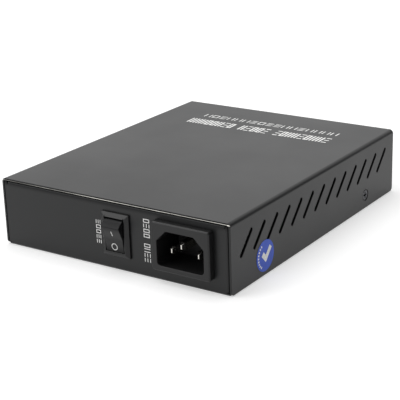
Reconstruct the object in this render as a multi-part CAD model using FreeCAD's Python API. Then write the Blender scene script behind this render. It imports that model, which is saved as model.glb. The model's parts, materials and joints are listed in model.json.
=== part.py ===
"""Desktop fibre media converter: a folded steel case with its own mains supply inside.

A tray carries two circuit boards, the mains inlet and the rocker switch; an inverted-U
cover with slanted vent slots drops over it and is held by four countersunk screws.
Millimetres, +Z up, origin at the bottom centre of the case.  The front, with the network
and fibre ports, faces -Y; the rear, with the inlet and the switch, faces +Y.
"""
import FreeCAD, Part
import math
import os

V = FreeCAD.Vector

# ---------------------------------------------------------------- case
case_width = 127.0
case_depth = 157.0
case_height = 33.3
sheet = 1.0                 # steel thickness of the tray and the cover
bend_radius = 2.0           # outside radius of the cover's two folds
tray_bend = 1.3             # outside radius of the tray's folds
seam = 0.4                  # gap between the cover and the tray inside it
wall_inset = 0.2            # the end walls stand this far inside the cover's cut edges
skirt_gap = 0.4             # the cover's sides stop this far above the tray's underside
skirt_corner = 2.0          # radius of the lower corners of the cover's sides
end_flange = 8.0            # top lip folded inwards on the front and rear walls
corner_return = 7.0         # flanges folded back at the upright edges of the end walls
corner_relief = 0.3         # notch between neighbouring folds
side_flange = 12.0          # height of the tray's folded sides
slot_count = 13             # vent slots in each side of the cover
slot_pitch = 10.9
slot_width = 2.0
slot_length = 14.3          # overall, round end to round end
slot_slant = 47.0           # degrees from level, leaning to the front
slot_first = 12.3           # centre of the rearmost slot in front of the cover's rear edge
slot_height = 20.8          # centre of the slots above the underside

# ---------------------------------------------------------------- screws
thread_radius = 1.5         # M3 throughout
thread_gap = 0.04           # radial gap left where a thread would be
cover_screw_y = 47.3        # fore and aft of the middle, on both sides
cover_screw_height = 7.2
cover_screw_head = 3.0      # countersunk head radius
cover_screw_length = 6.0
countersink_gap = 0.15
board_screw_head = 2.75
board_screw_head_height = 1.8
board_screw_length = 5.5
drive_width = 0.7
drive_length = 3.0
drive_depth = 0.9

# ---------------------------------------------------------------- mains inlet
inlet_inset = 23.9          # middle of the inlet from the side of the case
inlet_height = 17.4         # middle of the inlet flange above the underside
inlet_flange_width = 30.2
inlet_flange_height = 22.6
inlet_proud = 3.5           # flange face beyond the rear wall
inlet_flange_corner = 1.2
inlet_flange_chamfer = 0.5
recess_width = 24.4
recess_height = 16.4
recess_depth = 17.0
recess_drop = 0.5           # the recess sits this far below the middle of the flange
recess_chamfer = 5.0        # the two slanted upper corners
recess_corner = 2.0         # the two round lower corners
recess_edge = 0.5           # the others
inlet_wall = 1.2
inlet_floor = 2.0
inlet_latch = 1.0           # snap wedges that hold the inlet in the wall
inlet_latch_length = 6.0
inlet_latch_height = 6.0
latch_gap = 0.15            # behind the wall, on the inlet's and the switch's wedges
pin_width = 2.0
pin_height = 4.0
pin_nose = 1.2              # the blades taper over this length
pin_tip_width = 1.0
pin_tip_height = 2.4
pin_pitch = 14.0            # line to neutral
pin_drop = 2.0              # line and neutral below the middle of the recess, earth above it
live_tip_inset = 4.3        # tips behind the flange face
earth_tip_inset = 1.7
tab_width = 4.8
tab_thickness = 0.8
tab_length = 8.0
tab_chamfer = 1.0
cutout_gap = 0.2            # the wall's cut-outs around the inlet and the switch
inlet_cutout_corner = 1.0
switch_cutout_corner = 0.4

# ---------------------------------------------------------------- rocker switch
switch_spacing = 36.2       # middle of the switch from the middle of the inlet
switch_height = 17.3        # middle of the switch above the underside
bezel_width = 15.0
bezel_height = 20.6
bezel_proud = 2.0
bezel_bevel_width = 1.7      # the frame slopes up from its rim towards the rocker
bezel_bevel_height = 1.1
switch_body_width = 12.8
switch_body_height = 18.6
pivot_inset = 1.9           # rocker axis behind the outer face of the wall
rocker_width = 9.8
rocker_radius = 8.47        # end walls are round about the axis
rocker_tip_angle = 42.0     # of each pressing edge, in the middle position
rocker_valley_angle = 9.0   # slope of the two pressing faces
rocker_valley_radius = 6.0
rocker_travel = 29.6        # degrees from off to on
rocker_skirt_angle = 8.0    # lower end of the round end walls
rocker_gap = 0.2            # round end walls to the housing
rocker_side_gap = 0.3
rocker_wall = 1.3
trunnion_radius = 1.1
trunnion_length = 0.9
running_gap = 0.05
stem_radius = 2.1
stem_length = 6.4           # from the axis
plunger_radius = 1.2
plunger_reach = 9.0         # tip of the plunger from the axis
spring_length = 4.6         # the spring pushes on the plunger this far from the axis
spring_wire = 0.35
contact_gap = 0.1           # plunger tip to contact strip, as it passes the middle
contact_thickness = 0.6
contact_length = 11.4
contact_width = 3.4
contact_travel = 10.0       # degrees that the strip tips between off and on
terminal_gap = 0.06
knife_height = 0.5          # sloped edge that the strip tips on
switch_cavity_depth = 12.6  # from the axis
switch_cavity_height = 14.8
switch_latch = 0.8          # snap wedges above and below
switch_latch_length = 5.0
switch_latch_width = 5.0
switch_floor = 1.2
terminal_length = 7.0       # behind the switch
load_terminal_drop = 5.0    # below the line terminal

# ---------------------------------------------------------------- boards
board_lift = 5.0            # boards above the tray floor, on standoffs
board_thickness = 1.6
board_hole_gap = 0.1
board_side_gap = 1.5        # between a board's side and the ends of the cover screws
board_hole_side = 4.5       # board screws in from the board's sides
board_hole_end = 5.0        # and from its front and rear edges
standoff_radius = 2.75
standoff_floor = 1.0        # metal below the standoff's blind thread
converter_board_depth = 56.0
converter_board_gap = 1.8   # behind the front wall
supply_board_depth = 48.0
wiring_room = 8.8           # between the supply board and the inlet's tabs
liner_thickness = 0.3       # insulating sheet on the tray under the supply board
liner_margin = 2.0

# ---------------------------------------------------------------- ports
port_gap = 0.3              # windows in the front wall around the ports
jack_x = -8.0
jack_width = 15.9
jack_height = 13.4
jack_depth = 17.0
jack_proud = 0.5
can_thickness = 0.25
jack_lip = 0.3              # the can's edge stands in front of the moulding
plug_width = 11.9
plug_height = 6.9
plug_depth = 13.0
plug_sill = 3.4             # cavity floor above the bottom of the jack
latch_width = 6.2
latch_height = 1.9
contact_pitch = 1.02
contact_wire = 0.35
contact_drop = 2.2          # their rear ends below the roof of the cavity
contact_reach = 8.5         # forward from the back of the cavity
fibre_x = 30.0
fibre_width = 25.4
fibre_height = 11.8
fibre_depth = 45.0
fibre_proud = 1.0
fibre_lift = 0.4            # body above its board, on its own pins
fibre_pitch = 12.7
fibre_port_width = 9.2
fibre_port_height = 7.4
fibre_port_depth = 12.0
fibre_key_width = 2.2
fibre_key_height = 0.9
fibre_nose = 4.0            # full height continues this far behind the ports
fibre_shoulder = 1.4        # the rest of the block is this much lower
fibre_slant = 1.2
fibre_corner = 0.6
module_pin = 0.5
module_pin_pitch = 2.54
module_pin_inset = 3.0
module_post = 1.8           # the two square mounting posts
module_post_inset = 8.0
barrel_radius = 2.3
barrel_bore = 1.25
barrel_lead_in = 0.4
barrel_inset = 6.0          # barrel tips behind the port mouths
led_inset = 26.5            # middle of the lamps from the side of the case
led_radius = 1.5
led_pitch = 6.0
led_columns = 2
led_rows = 2
led_height = 14.0           # lower row above the underside
led_proud = 0.8
led_gap = 0.1
led_length = 9.2            # from its back to its tip
led_holder_gap = 0.2        # behind the front wall
led_holder_depth = 8.0
led_holder_rim = 3.5        # beyond the middles of the outermost lamps
led_foot_reach = 2.0
led_foot_height = 1.6

# ---------------------------------------------------------------- parts on the converter board
# places are (x, y): x from the middle of the case, y behind the board's front edge
solder_lift = 0.2           # a moulded package above its board, on its leads
mould_draft = 0.3
lead_thickness = 0.24
lead_foot = 1.5             # leads reach this far beyond the package
chip_place = (-8.0, 45.5)
chip_width = 14.0
chip_height = 1.4
chip_lead_pitch = 2.0
magnetics_place = (-8.0, 23.5)
magnetics_width = 12.7
magnetics_depth = 9.0
magnetics_height = 5.2
magnetics_lead_pitch = 1.8
crystal_place = (-24.0, 41.5)
crystal_width = 11.4
crystal_depth = 4.9
crystal_flange = 0.5        # its base stands out all round
crystal_base = 0.6
crystal_height = 3.6
regulator_places = [(-36.0, 47.5), (-36.0, 33.5)]
regulator_width = 6.6
regulator_depth = 6.0
regulator_height = 2.3
regulator_tab = 1.8
regulator_leg = 0.7
regulator_leg_pitch = 4.56
small_capacitor_places = [(-46.0, 23.5), (-37.0, 18.5), (-28.0, 25.5), (8.6, 15.5)]
small_capacitor_radius = 3.15
small_capacitor_height = 8.0
power_socket_place = (34.0, 51.0)

# ---------------------------------------------------------------- parts on the supply board
# places are (x, y): x from the middle of the case, y in front of the board's rear edge
header_depth = 8.0
header_height = 8.0
header_margin = 1.0         # housing beyond its outermost wires
header_step = 2.5           # depth of the low step along the back
header_step_drop = 1.5
header_pitch = 3.5
header_entry = 3.2          # wire entries above the board
entry_gap = 0.15            # around a wire in its entry
entry_depth = 5.5
mains_terminal_shift = 1.1  # middle of the terminal from the middle of the inlet
mains_terminal_y = 10.0
mains_terminal_pitch = 5.0
mains_terminal_height = 9.5
terminal_screw = 2.6        # width of the square well over each clamping screw
terminal_screw_depth = 1.2
fuse_gap = 4.0              # between the mains terminal and the fuse
fuse_y = 8.0
fuse_length = 20.0
fuse_radius = 2.6
fuse_cap = 5.5
fuse_cap_step = 0.2         # caps stand out from the glass
fuse_lift = 3.6             # its axis above the board
clip_width = 4.0
clip_inset = 2.8            # middle of each clip from the end of the fuse
clip_thickness = 0.45
clip_foot = 2.4
noise_capacitor_place = (12.0, 8.0)
noise_capacitor_width = 18.0
noise_capacitor_depth = 8.5
noise_capacitor_height = 14.0
noise_capacitor_wall = 1.4  # rim that it stands on
noise_capacitor_recess = 0.5
choke_inset = 16.0          # middle of the choke from the side of the board
choke_y = 30.0
choke_lift = 2.4
choke_inner = 4.6
choke_outer = 8.4
choke_height = 6.0
choke_turns = 5             # on each side of the ring
choke_turn_angle = 24.0
choke_wire = 1.1
choke_wire_gap = 0.05
rectifier_place = (-18.0, 22.0)
rectifier_width = 8.4
rectifier_depth = 6.4
rectifier_height = 2.8
rectifier_lead_pitch = 5.08
supply_chip_place = (-4.0, 20.0)
supply_chip_width = 9.6
supply_chip_depth = 6.4
supply_chip_height = 3.2
supply_chip_lead_pitch = 2.2
bulk_place = (-18.0, 38.0)
bulk_radius = 6.5
bulk_height = 20.0
bulk_groove = 0.5           # depth of the crimp near its foot
bulk_groove_lift = 1.6
transformer_place = (15.0, 32.0)
transformer_lift = 1.5
core_width = 22.0
core_depth = 6.0
core_height = 18.6
core_leg = 5.6
core_window = 4.2
core_yoke = 3.9
bobbin_gap = 0.1
bobbin_wall = 1.0
bobbin_reach = 6.0          # flanges beyond the core, front and rear
bobbin_foot = 3.5
winding_corner = 2.0
diode_place = (35.0, 13.0)
diode_radius = 2.6
diode_length = 9.2
diode_lift = 3.0            # its axis above the board
diode_span = 14.0           # between its two leads
diode_lead = 0.6
output_capacitor_places = [(33.0, 28.0), (42.0, 24.0)]
output_capacitor_radius = 4.0
output_capacitor_height = 12.0
output_header_x = 33.0
output_header_edge = 6.0    # middle of the header behind the board's front edge

# ---------------------------------------------------------------- earth point
stud_inset = 12.3           # in front of the rear wall's outer face
stud_shift = 21.6           # from the middle of the inlet
stud_radius = 2.0
stud_neck = 2.4
neck_gap = 0.03
stud_top = 9.0
nut_radius = 3.5            # to its flats
nut_height = 3.0
lug_thickness = 0.8
lug_radius = 4.0
lug_tongue = 9.0            # from the stud to the end of the crimp
lug_crimp = 2.0

# ---------------------------------------------------------------- round seal
seal_radius = 7.3
seal_thickness = 0.12
seal_y = 50.9
seal_height = 9.5

# ---------------------------------------------------------------- wiring
wire_radius = 0.9           # to the corners of its six-sided section
wire_gap = 0.05             # wire end to the face that it is crimped or plugged to
wire_bend = 3.2             # bend radius, on the middle of the wire
wire_straight = 4.0         # straight run before a wire's first bend
edge_clearance = 1.4        # middle of the mains wires behind the supply board

# ---------------------------------------------------------------- worked-out places
half_width = case_width / 2
half_depth = case_depth / 2
tray_half_width = half_width - sheet - seam
wall_y = half_depth - wall_inset            # outer face of the rear wall, and of the front
tray_top = case_height - sheet - seam
inlet_face_y = wall_y + inlet_proud
recess_height_middle = inlet_height - recess_drop
recess_floor_y = inlet_face_y - recess_depth
pivot_y = wall_y - pivot_inset
cavity_radius = rocker_radius + rocker_gap
cavity_half_width = rocker_width / 2 + rocker_side_gap
switch_back_y = pivot_y - switch_cavity_depth - switch_floor
board_bottom = sheet + board_lift
board_top = board_bottom + board_thickness
contact_axis_y = pivot_y - plunger_reach - contact_gap - contact_thickness
inlet_x = -half_width + inlet_inset
switch_x = inlet_x + switch_spacing
led_x = -half_width + led_inset
board_half_width = half_width - cover_screw_length - board_side_gap
converter_front = -wall_y + sheet + converter_board_gap
supply_rear = recess_floor_y - inlet_floor - tab_length - wiring_room
supply_front = supply_rear - supply_board_depth


# ================================================================ drawing helpers
def rounded_edges(points, radii, closed=False):
    """Straight runs joined by tangent arcs; a radius of zero leaves a sharp corner."""
    count = len(points)
    if not isinstance(radii, (list, tuple)):
        radii = [radii] * count
    enter = list(points)
    leave = list(points)
    arcs = [None] * count
    for i in range(count) if closed else range(1, count - 1):
        if radii[i] <= 0:
            continue
        before = (points[i - 1] - points[i]).normalize()
        after = (points[(i + 1) % count] - points[i]).normalize()
        half_angle = before.getAngle(after) / 2
        if half_angle > math.pi / 2 - 1e-6:
            continue
        setback = radii[i] / math.tan(half_angle)
        middle = (before + after).normalize()
        enter[i] = points[i] + before * setback
        leave[i] = points[i] + after * setback
        nearest = points[i] + middle * (radii[i] / math.sin(half_angle) - radii[i])
        arcs[i] = Part.Arc(enter[i], nearest, leave[i]).toShape()
    edges = []
    for i in range(count):
        if arcs[i]:
            edges.append(arcs[i])
        if i == count - 1 and not closed:
            break
        following = (i + 1) % count
        if (enter[following] - leave[i]).Length > 1e-6:
            edges.append(Part.LineSegment(leave[i], enter[following]).toShape())
    return edges


def extruded(outline, axis, low, high, radii=0.0):
    """A prism along x, y or z; its outline is drawn in the other two axes, in that order."""
    place = {"x": lambda u, v: V(low, u, v),
             "y": lambda u, v: V(u, low, v),
             "z": lambda u, v: V(u, v, low)}[axis]
    along = {"x": V(1, 0, 0), "y": V(0, 1, 0), "z": V(0, 0, 1)}[axis]
    points = [place(u, v) for u, v in outline]
    face = Part.Face(Part.Wire(rounded_edges(points, radii, closed=True)))
    return face.extrude(along * (high - low))


def rectangle(u, v, width, height):
    """Corner points of a rectangle about its middle."""
    return [(u - width / 2, v - height / 2), (u + width / 2, v - height / 2),
            (u + width / 2, v + height / 2), (u - width / 2, v + height / 2)]


def hexagon(centre, radius):
    """Corner points of a hexagon about a point, radius measured to its flats."""
    corner = radius / math.cos(math.radians(30))
    return [(centre.x + corner * math.cos(math.radians(60 * i)),
             centre.y + corner * math.sin(math.radians(60 * i))) for i in range(6)]


def frustum_y(low_outline, low_y, high_outline, high_y):
    """A solid between two like outlines in x and z that face along y."""
    wires = [Part.makePolygon([V(x, y, z) for x, z in outline + outline[:1]])
             for outline, y in ((low_outline, low_y), (high_outline, high_y))]
    return Part.makeLoft(wires, True, True)


def block(low, high):
    return Part.makeBox(high[0] - low[0], high[1] - low[1], high[2] - low[2], V(*low))


def turned(profile, at, axis=V(0, 0, 1)):
    """A solid of revolution; profile is (radius, height) pairs, standing at a point."""
    wire = Part.makePolygon([V(r, 0, h) for r, h in profile + profile[:1]])
    shape = Part.Face(wire).revolve(V(0, 0, 0), V(0, 0, 1), 360)
    shape.Placement = FreeCAD.Placement(at, FreeCAD.Rotation(V(0, 0, 1), axis))
    return shape


def rod(radius, start, end):
    return Part.makeCylinder(radius, (end - start).Length, start, end - start)


def folded(path, radius, thickness=sheet):
    """Outline and radii of a folded sheet: path is its outer face, the metal on the left."""
    steps = [(b[0] - a[0], b[1] - a[1]) for a, b in zip(path, path[1:])]
    normals = [(-dv / math.hypot(du, dv), du / math.hypot(du, dv)) for du, dv in steps]
    inner = []
    for i, point in enumerate(path):
        n1 = normals[max(i - 1, 0)]
        n2 = normals[min(i, len(normals) - 1)]
        reach = thickness / (1 + n1[0] * n2[0] + n1[1] * n2[1])
        inner.append((point[0] + (n1[0] + n2[0]) * reach, point[1] + (n1[1] + n2[1]) * reach))
    outer_radii = [0.0]
    inner_radii = [0.0]
    for a, b in zip(steps, steps[1:]):
        left_turn = a[0] * b[1] - a[1] * b[0] > 0
        outer_radii.append(radius if left_turn else radius - thickness)
        inner_radii.append(radius - thickness if left_turn else radius)
    outer_radii.append(0.0)
    inner_radii.append(0.0)
    return path + inner[::-1], outer_radii + inner_radii[::-1]


def folded_sheet(path, axis, low, high, radius):
    outline, radii = folded(path, radius)
    return extruded(outline, axis, low, high, radii)


def mirrored(shape, axis):
    return shape.mirror(V(0, 0, 0), {"x": V(1, 0, 0), "y": V(0, 1, 0)}[axis])


def joined(shapes):
    return shapes[0].multiFuse(shapes[1:]).removeSplitter() if len(shapes) > 1 else shapes[0]


def grouped(shapes):
    return Part.makeCompound(shapes)


def save(name, shape):
    shape.exportStep("parts/" + name + ".step")


# ================================================================ places shared by pieces
def standoff_places():
    """Four under each board: first those of the converter board, then the supply board's."""
    x = board_half_width - board_hole_side
    return [[V(side * x, y, 0) for side in (-1, 1)
             for y in (front + board_hole_end, front + depth - board_hole_end)]
            for front, depth in ((converter_front, converter_board_depth),
                                 (supply_front, supply_board_depth))]


def on_converter(place):
    return place[0], converter_front + place[1]


def on_supply(place):
    return place[0], supply_rear - place[1]


def cover_screw_places():
    """Where each cover screw meets the outside of the cover, and the way it faces."""
    return [(V(side * half_width, end * cover_screw_y, cover_screw_height), V(side, 0, 0))
            for side in (-1, 1) for end in (-1, 1)]


def led_places():
    return [(led_x + (column - (led_columns - 1) / 2) * led_pitch, led_height + row * led_pitch)
            for column in range(led_columns) for row in range(led_rows)]


def slot_opening(y, z):
    """One slanted vent slot with half-round ends, cut through the whole width of the cover."""
    slant = math.radians(slot_slant)
    along = V(0, -math.cos(slant), math.sin(slant))
    across = V(0, math.sin(slant), math.cos(slant)) * (slot_width / 2)
    centre = V(-half_width - 1, y, z)
    reach = along * ((slot_length - slot_width) / 2)
    upper = centre + reach
    lower = centre - reach
    nose = along * (slot_width / 2)
    outline = Part.Wire([
        Part.LineSegment(lower + across, upper + across).toShape(),
        Part.Arc(upper + across, upper + nose, upper - across).toShape(),
        Part.LineSegment(upper - across, lower - across).toShape(),
        Part.Arc(lower - across, lower - nose, lower + across).toShape()])
    return Part.Face(outline).extrude(V(case_width + 2, 0, 0))


# ================================================================ case
def base_tray():
    """Bottom, front and rear walls with folded-in top lips, low folded sides, corner returns."""
    path = [(-wall_y + end_flange, tray_top), (-wall_y, tray_top), (-wall_y, 0),
            (wall_y, 0), (wall_y, tray_top), (wall_y - end_flange, tray_top)]
    shape = folded_sheet(path, "x", -tray_half_width, tray_half_width, tray_bend)
    flat = tray_half_width - tray_bend
    side_end = wall_y - corner_return - corner_relief
    return_bottom = tray_bend + corner_relief
    lip_bend = tray_top - tray_bend - corner_relief

    side_path = [(flat - sheet, 0), (tray_half_width, 0), (tray_half_width, side_flange)]
    side = folded_sheet(side_path, "y", -side_end, side_end, tray_bend)
    return_path = [(tray_half_width, wall_y - corner_return), (tray_half_width, wall_y),
                   (flat - sheet, wall_y)]
    corner = folded_sheet(return_path, "z", return_bottom, tray_top - corner_relief, tray_bend)
    corner = corner.cut(block((flat - sheet - 1, 0, lip_bend), (flat, wall_y + 1, tray_top)))
    beyond = tray_half_width + 1
    clear_lip = block((flat - corner_relief, -wall_y - 1, lip_bend),
                      (beyond, wall_y + 1, tray_top + 1))
    clear_above = block((flat, -wall_y - 1, tray_bend), (beyond, wall_y + 1, tray_top + 1))
    clear_side = block((flat, -side_end - corner_relief, -1),
                       (beyond, side_end + corner_relief, tray_bend))
    for cleared in (clear_above, clear_side, clear_lip):
        shape = shape.cut(cleared).cut(mirrored(cleared, "x"))
    corners = [corner, mirrored(corner, "y")]
    corners += [mirrored(piece, "x") for piece in corners]
    shape = joined([shape, side, mirrored(side, "x")] + corners)

    through_rear = (wall_y - sheet - 1, wall_y + 1)
    through_front = (-wall_y - 1, -wall_y + sheet + 1)
    cuts = [extruded(rectangle(inlet_x, recess_height_middle, inlet_body_width() + 2 * cutout_gap,
                               inlet_body_height() + 2 * cutout_gap), "y", *through_rear,
                     inlet_cutout_corner),
            extruded(rectangle(switch_x, switch_height, switch_body_width + 2 * cutout_gap,
                               switch_body_height + 2 * cutout_gap), "y", *through_rear,
                     switch_cutout_corner),
            extruded(rectangle(jack_x, board_top + jack_height / 2, jack_width + 2 * port_gap,
                               jack_height + 2 * port_gap), "y", *through_front),
            extruded(rectangle(fibre_x, board_top + fibre_lift + fibre_height / 2,
                               fibre_width + 2 * port_gap, fibre_height + 2 * port_gap),
                     "y", *through_front)]
    for x, z in led_places():
        cuts.append(rod(led_radius + led_gap, V(x, through_front[0], z), V(x, through_front[1], z)))
    stud = earth_stud_place()
    cuts.append(rod(stud_neck + neck_gap, stud - V(0, 0, 1), stud + V(0, 0, sheet + 1)))
    cuts += [countersunk_hole(place, facing, thread_radius + thread_gap)
             for place, facing in cover_screw_places()]
    return shape.cut(grouped(cuts))


def countersunk_hole(place, facing, shank):
    """The space that one cover screw takes in the sheets that it passes through."""
    rim = cover_screw_head + countersink_gap
    cone = rim - shank
    return turned([(0, sheet), (rim, sheet), (rim, 0), (shank, -cone),
                   (shank, -cover_screw_length - 1), (0, -cover_screw_length - 1)], place, facing)


def top_cover():
    """Inverted U: the lid and both sides in one sheet, with the vent slots and screw holes."""
    path = [(half_width, skirt_gap), (half_width, case_height), (-half_width, case_height),
            (-half_width, skirt_gap)]
    shape = folded_sheet(path, "y", -half_depth, half_depth, bend_radius)
    side_outline = [(-half_depth, skirt_gap), (half_depth, skirt_gap),
                    (half_depth, case_height + 1), (-half_depth, case_height + 1)]
    shape = shape.common(extruded(side_outline, "x", -half_width - 1, half_width + 1,
                                  [skirt_corner, skirt_corner, 0, 0]))
    cuts = []
    for i in range(slot_count):
        cuts.append(slot_opening(half_depth - slot_first - i * slot_pitch, slot_height))
    cuts += [countersunk_hole(place, facing, thread_radius + 2 * thread_gap)
             for place, facing in cover_screw_places()]
    return shape.cut(grouped(cuts))


def cover_screw(place, facing):
    head = cover_screw_head
    cone = head - thread_radius
    shape = turned([(0, 0), (head, 0), (thread_radius, -cone),
                    (thread_radius, -cover_screw_length), (0, -cover_screw_length)], V(0, 0, 0))
    bars = [block((-drive_length / 2, -drive_width / 2, -drive_depth),
                  (drive_length / 2, drive_width / 2, 1)),
            block((-drive_width / 2, -drive_length / 2, -drive_depth),
                  (drive_width / 2, drive_length / 2, 1))]
    shape = shape.cut(joined(bars))
    shape.Placement = FreeCAD.Placement(place, FreeCAD.Rotation(V(0, 0, 1), facing))
    return shape


def standoff(place):
    """Hexagonal post welded to the tray floor, with a blind threaded hole in its top."""
    post = extruded(hexagon(place, standoff_radius), "z", sheet, board_bottom)
    return post.cut(rod(thread_radius + thread_gap, place + V(0, 0, sheet + standoff_floor),
                        place + V(0, 0, board_bottom + 1)))


def board_screw(place):
    low = board_top - board_screw_length
    top = board_top + board_screw_head_height
    return turned([(0, low), (thread_radius, low), (thread_radius, board_top),
                   (board_screw_head, board_top), (board_screw_head, top), (0, top)], place)


def round_seal():
    """Thin round sticker on the side of the cover, over the rear cover screw."""
    centre = V(-half_width, seal_y, seal_height)
    return rod(seal_radius, centre, centre - V(seal_thickness, 0, 0))


def insulating_sheet():
    """Stiff film on the tray floor under the mains side, notched for the standoffs."""
    y = supply_rear - supply_board_depth / 2
    far_x = board_half_width - liner_margin
    far_y = supply_board_depth / 2 - liner_margin
    near_x = board_half_width - board_hole_side - standoff_radius - liner_margin
    near_y = supply_board_depth / 2 - board_hole_end - standoff_radius - liner_margin
    quarter = [(near_x, far_y), (near_x, near_y), (far_x, near_y)]
    outline = [(u, y + v) for u, v in quarter]
    outline += [(u, y - v) for u, v in quarter[::-1]]
    outline += [(-u, y - v) for u, v in quarter]
    outline += [(-u, y + v) for u, v in quarter[::-1]]
    return extruded(outline, "z", sheet, sheet + liner_thickness)


# ================================================================ mains inlet
def inlet_body_width():
    return recess_width + 2 * inlet_wall


def inlet_body_height():
    return recess_height + 2 * inlet_wall


def inlet_outline(grow):
    """The recess outline, slanted at its upper corners, grown by a wall all round."""
    w = recess_width / 2 + grow
    h = recess_height / 2 + grow
    c = recess_chamfer + grow * (2 - math.sqrt(2))
    x = inlet_x
    z = recess_height_middle
    points = [(x - w, z - h), (x + w, z - h), (x + w, z + h - c), (x + w - c, z + h),
              (x - w + c, z + h), (x - w, z + h - c)]
    round_low = recess_corner + grow
    return points, [round_low, round_low] + [recess_edge] * 4


def inlet_pin(x, z, tip_y):
    """Flat blade with a tapered nose, necked to a flat tab behind the housing."""
    section = rectangle(x, z, pin_width, pin_height)
    blade = extruded(section, "y", recess_floor_y - inlet_floor, tip_y - pin_nose)
    nose = frustum_y(section, tip_y - pin_nose,
                     rectangle(x, z, pin_tip_width, pin_tip_height), tip_y)
    tab_end = recess_floor_y - inlet_floor - tab_length
    tip = tab_width / 2 - tab_chamfer
    tab = extruded([(tab_end, z - tip), (recess_floor_y - inlet_floor, z - tab_width / 2),
                    (recess_floor_y - inlet_floor, z + tab_width / 2), (tab_end, z + tip)],
                   "x", x - tab_thickness / 2, x + tab_thickness / 2)
    return joined([blade, nose, tab])


def inlet_pin_places():
    low = recess_height_middle - pin_drop
    high = recess_height_middle + pin_drop
    live_tip = inlet_face_y - live_tip_inset
    return {"line": (inlet_x + pin_pitch / 2, low, live_tip),
            "neutral": (inlet_x - pin_pitch / 2, low, live_tip),
            "earth": (inlet_x, high, inlet_face_y - earth_tip_inset)}


def inlet_housing():
    """Moulded appliance inlet: flange outside the wall, deep keyed recess, snap wedges."""
    flange = extruded(rectangle(inlet_x, inlet_height, inlet_flange_width, inlet_flange_height),
                      "y", wall_y, inlet_face_y, inlet_flange_corner)
    front_edges = [e for e in flange.Edges
                   if abs(e.BoundBox.YMin - inlet_face_y) < 1e-6 and e.BoundBox.YLength < 1e-6]
    flange = flange.makeChamfer(inlet_flange_chamfer, front_edges)
    points, radii = inlet_outline(inlet_wall)
    body = extruded(points, "y", recess_floor_y - inlet_floor, wall_y, radii)
    pieces = [flange, body]
    for side in (-1, 1):
        x = inlet_x + side * inlet_body_width() / 2
        behind = wall_y - sheet - latch_gap
        wedge = extruded([(x - side * inlet_wall / 2, behind), (x + side * inlet_latch, behind),
                          (x - side * inlet_wall / 2, behind - inlet_latch_length)], "z",
                         recess_height_middle - inlet_latch_height / 2,
                         recess_height_middle + inlet_latch_height / 2)
        pieces.append(wedge)
    shape = joined(pieces)
    points, radii = inlet_outline(0.0)
    shape = shape.cut(extruded(points, "y", recess_floor_y, inlet_face_y + 1, radii))
    for x, z, _ in inlet_pin_places().values():
        slot = rectangle(x, z, pin_width, pin_height)
        shape = shape.cut(extruded(slot, "y", recess_floor_y - inlet_floor - 1, recess_floor_y + 1))
    return shape


# ================================================================ rocker switch
def at_rest(shape):
    """Turn what is drawn in the rocker's middle position to off: top out, bottom in."""
    shape.rotate(V(switch_x, pivot_y, switch_height), V(1, 0, 0), -rocker_travel / 2)
    return shape


def switch_housing():
    """Bezel and body in one moulding, round inside below a straight-sided mouth."""
    rim_y = wall_y + bezel_proud - bezel_bevel_height
    rim = extruded(rectangle(switch_x, switch_height, bezel_width, bezel_height), "y", wall_y, rim_y)
    bevel = frustum_y(rectangle(switch_x, switch_height, bezel_width, bezel_height), rim_y,
                      rectangle(switch_x, switch_height, bezel_width - 2 * bezel_bevel_width,
                                bezel_height - 2 * bezel_bevel_width), wall_y + bezel_proud)
    body = extruded(rectangle(switch_x, switch_height, switch_body_width, switch_body_height),
                    "y", switch_back_y, wall_y)
    shape = joined([rim, bevel, body])
    left = switch_x - cavity_half_width
    right = switch_x + cavity_half_width
    well = rod(cavity_radius, V(left, pivot_y, switch_height), V(right, pivot_y, switch_height))
    lower = block((left, pivot_y - switch_cavity_depth, switch_height - switch_cavity_height / 2),
                  (right, pivot_y, switch_height + switch_cavity_height / 2))
    mouth = block((left, pivot_y, switch_height - cavity_radius),
                  (right, wall_y + bezel_proud + 1, switch_height + cavity_radius))
    cavity = joined([well, lower, mouth])
    shape = shape.cut(cavity)
    reach = cavity_half_width + trunnion_length
    shape = shape.cut(rod(trunnion_radius + running_gap,
                          V(switch_x - reach, pivot_y, switch_height),
                          V(switch_x + reach, pivot_y, switch_height)))
    for z in terminal_heights():
        slot = rectangle(switch_x, z, tab_width, tab_thickness)
        shape = shape.cut(extruded(slot, "y", switch_back_y - 1,
                                   pivot_y - switch_cavity_depth + 1))
    for side in (-1, 1):
        z = switch_height + side * switch_body_height / 2
        behind = wall_y - sheet - latch_gap
        wedge = extruded([(behind, z - side * switch_latch / 2), (behind, z + side * switch_latch),
                          (behind - switch_latch_length, z - side * switch_latch / 2)], "x",
                         switch_x - switch_latch_width / 2, switch_x + switch_latch_width / 2)
        shape = shape.fuse(wedge)
    return shape.removeSplitter().cut(cavity)


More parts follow.
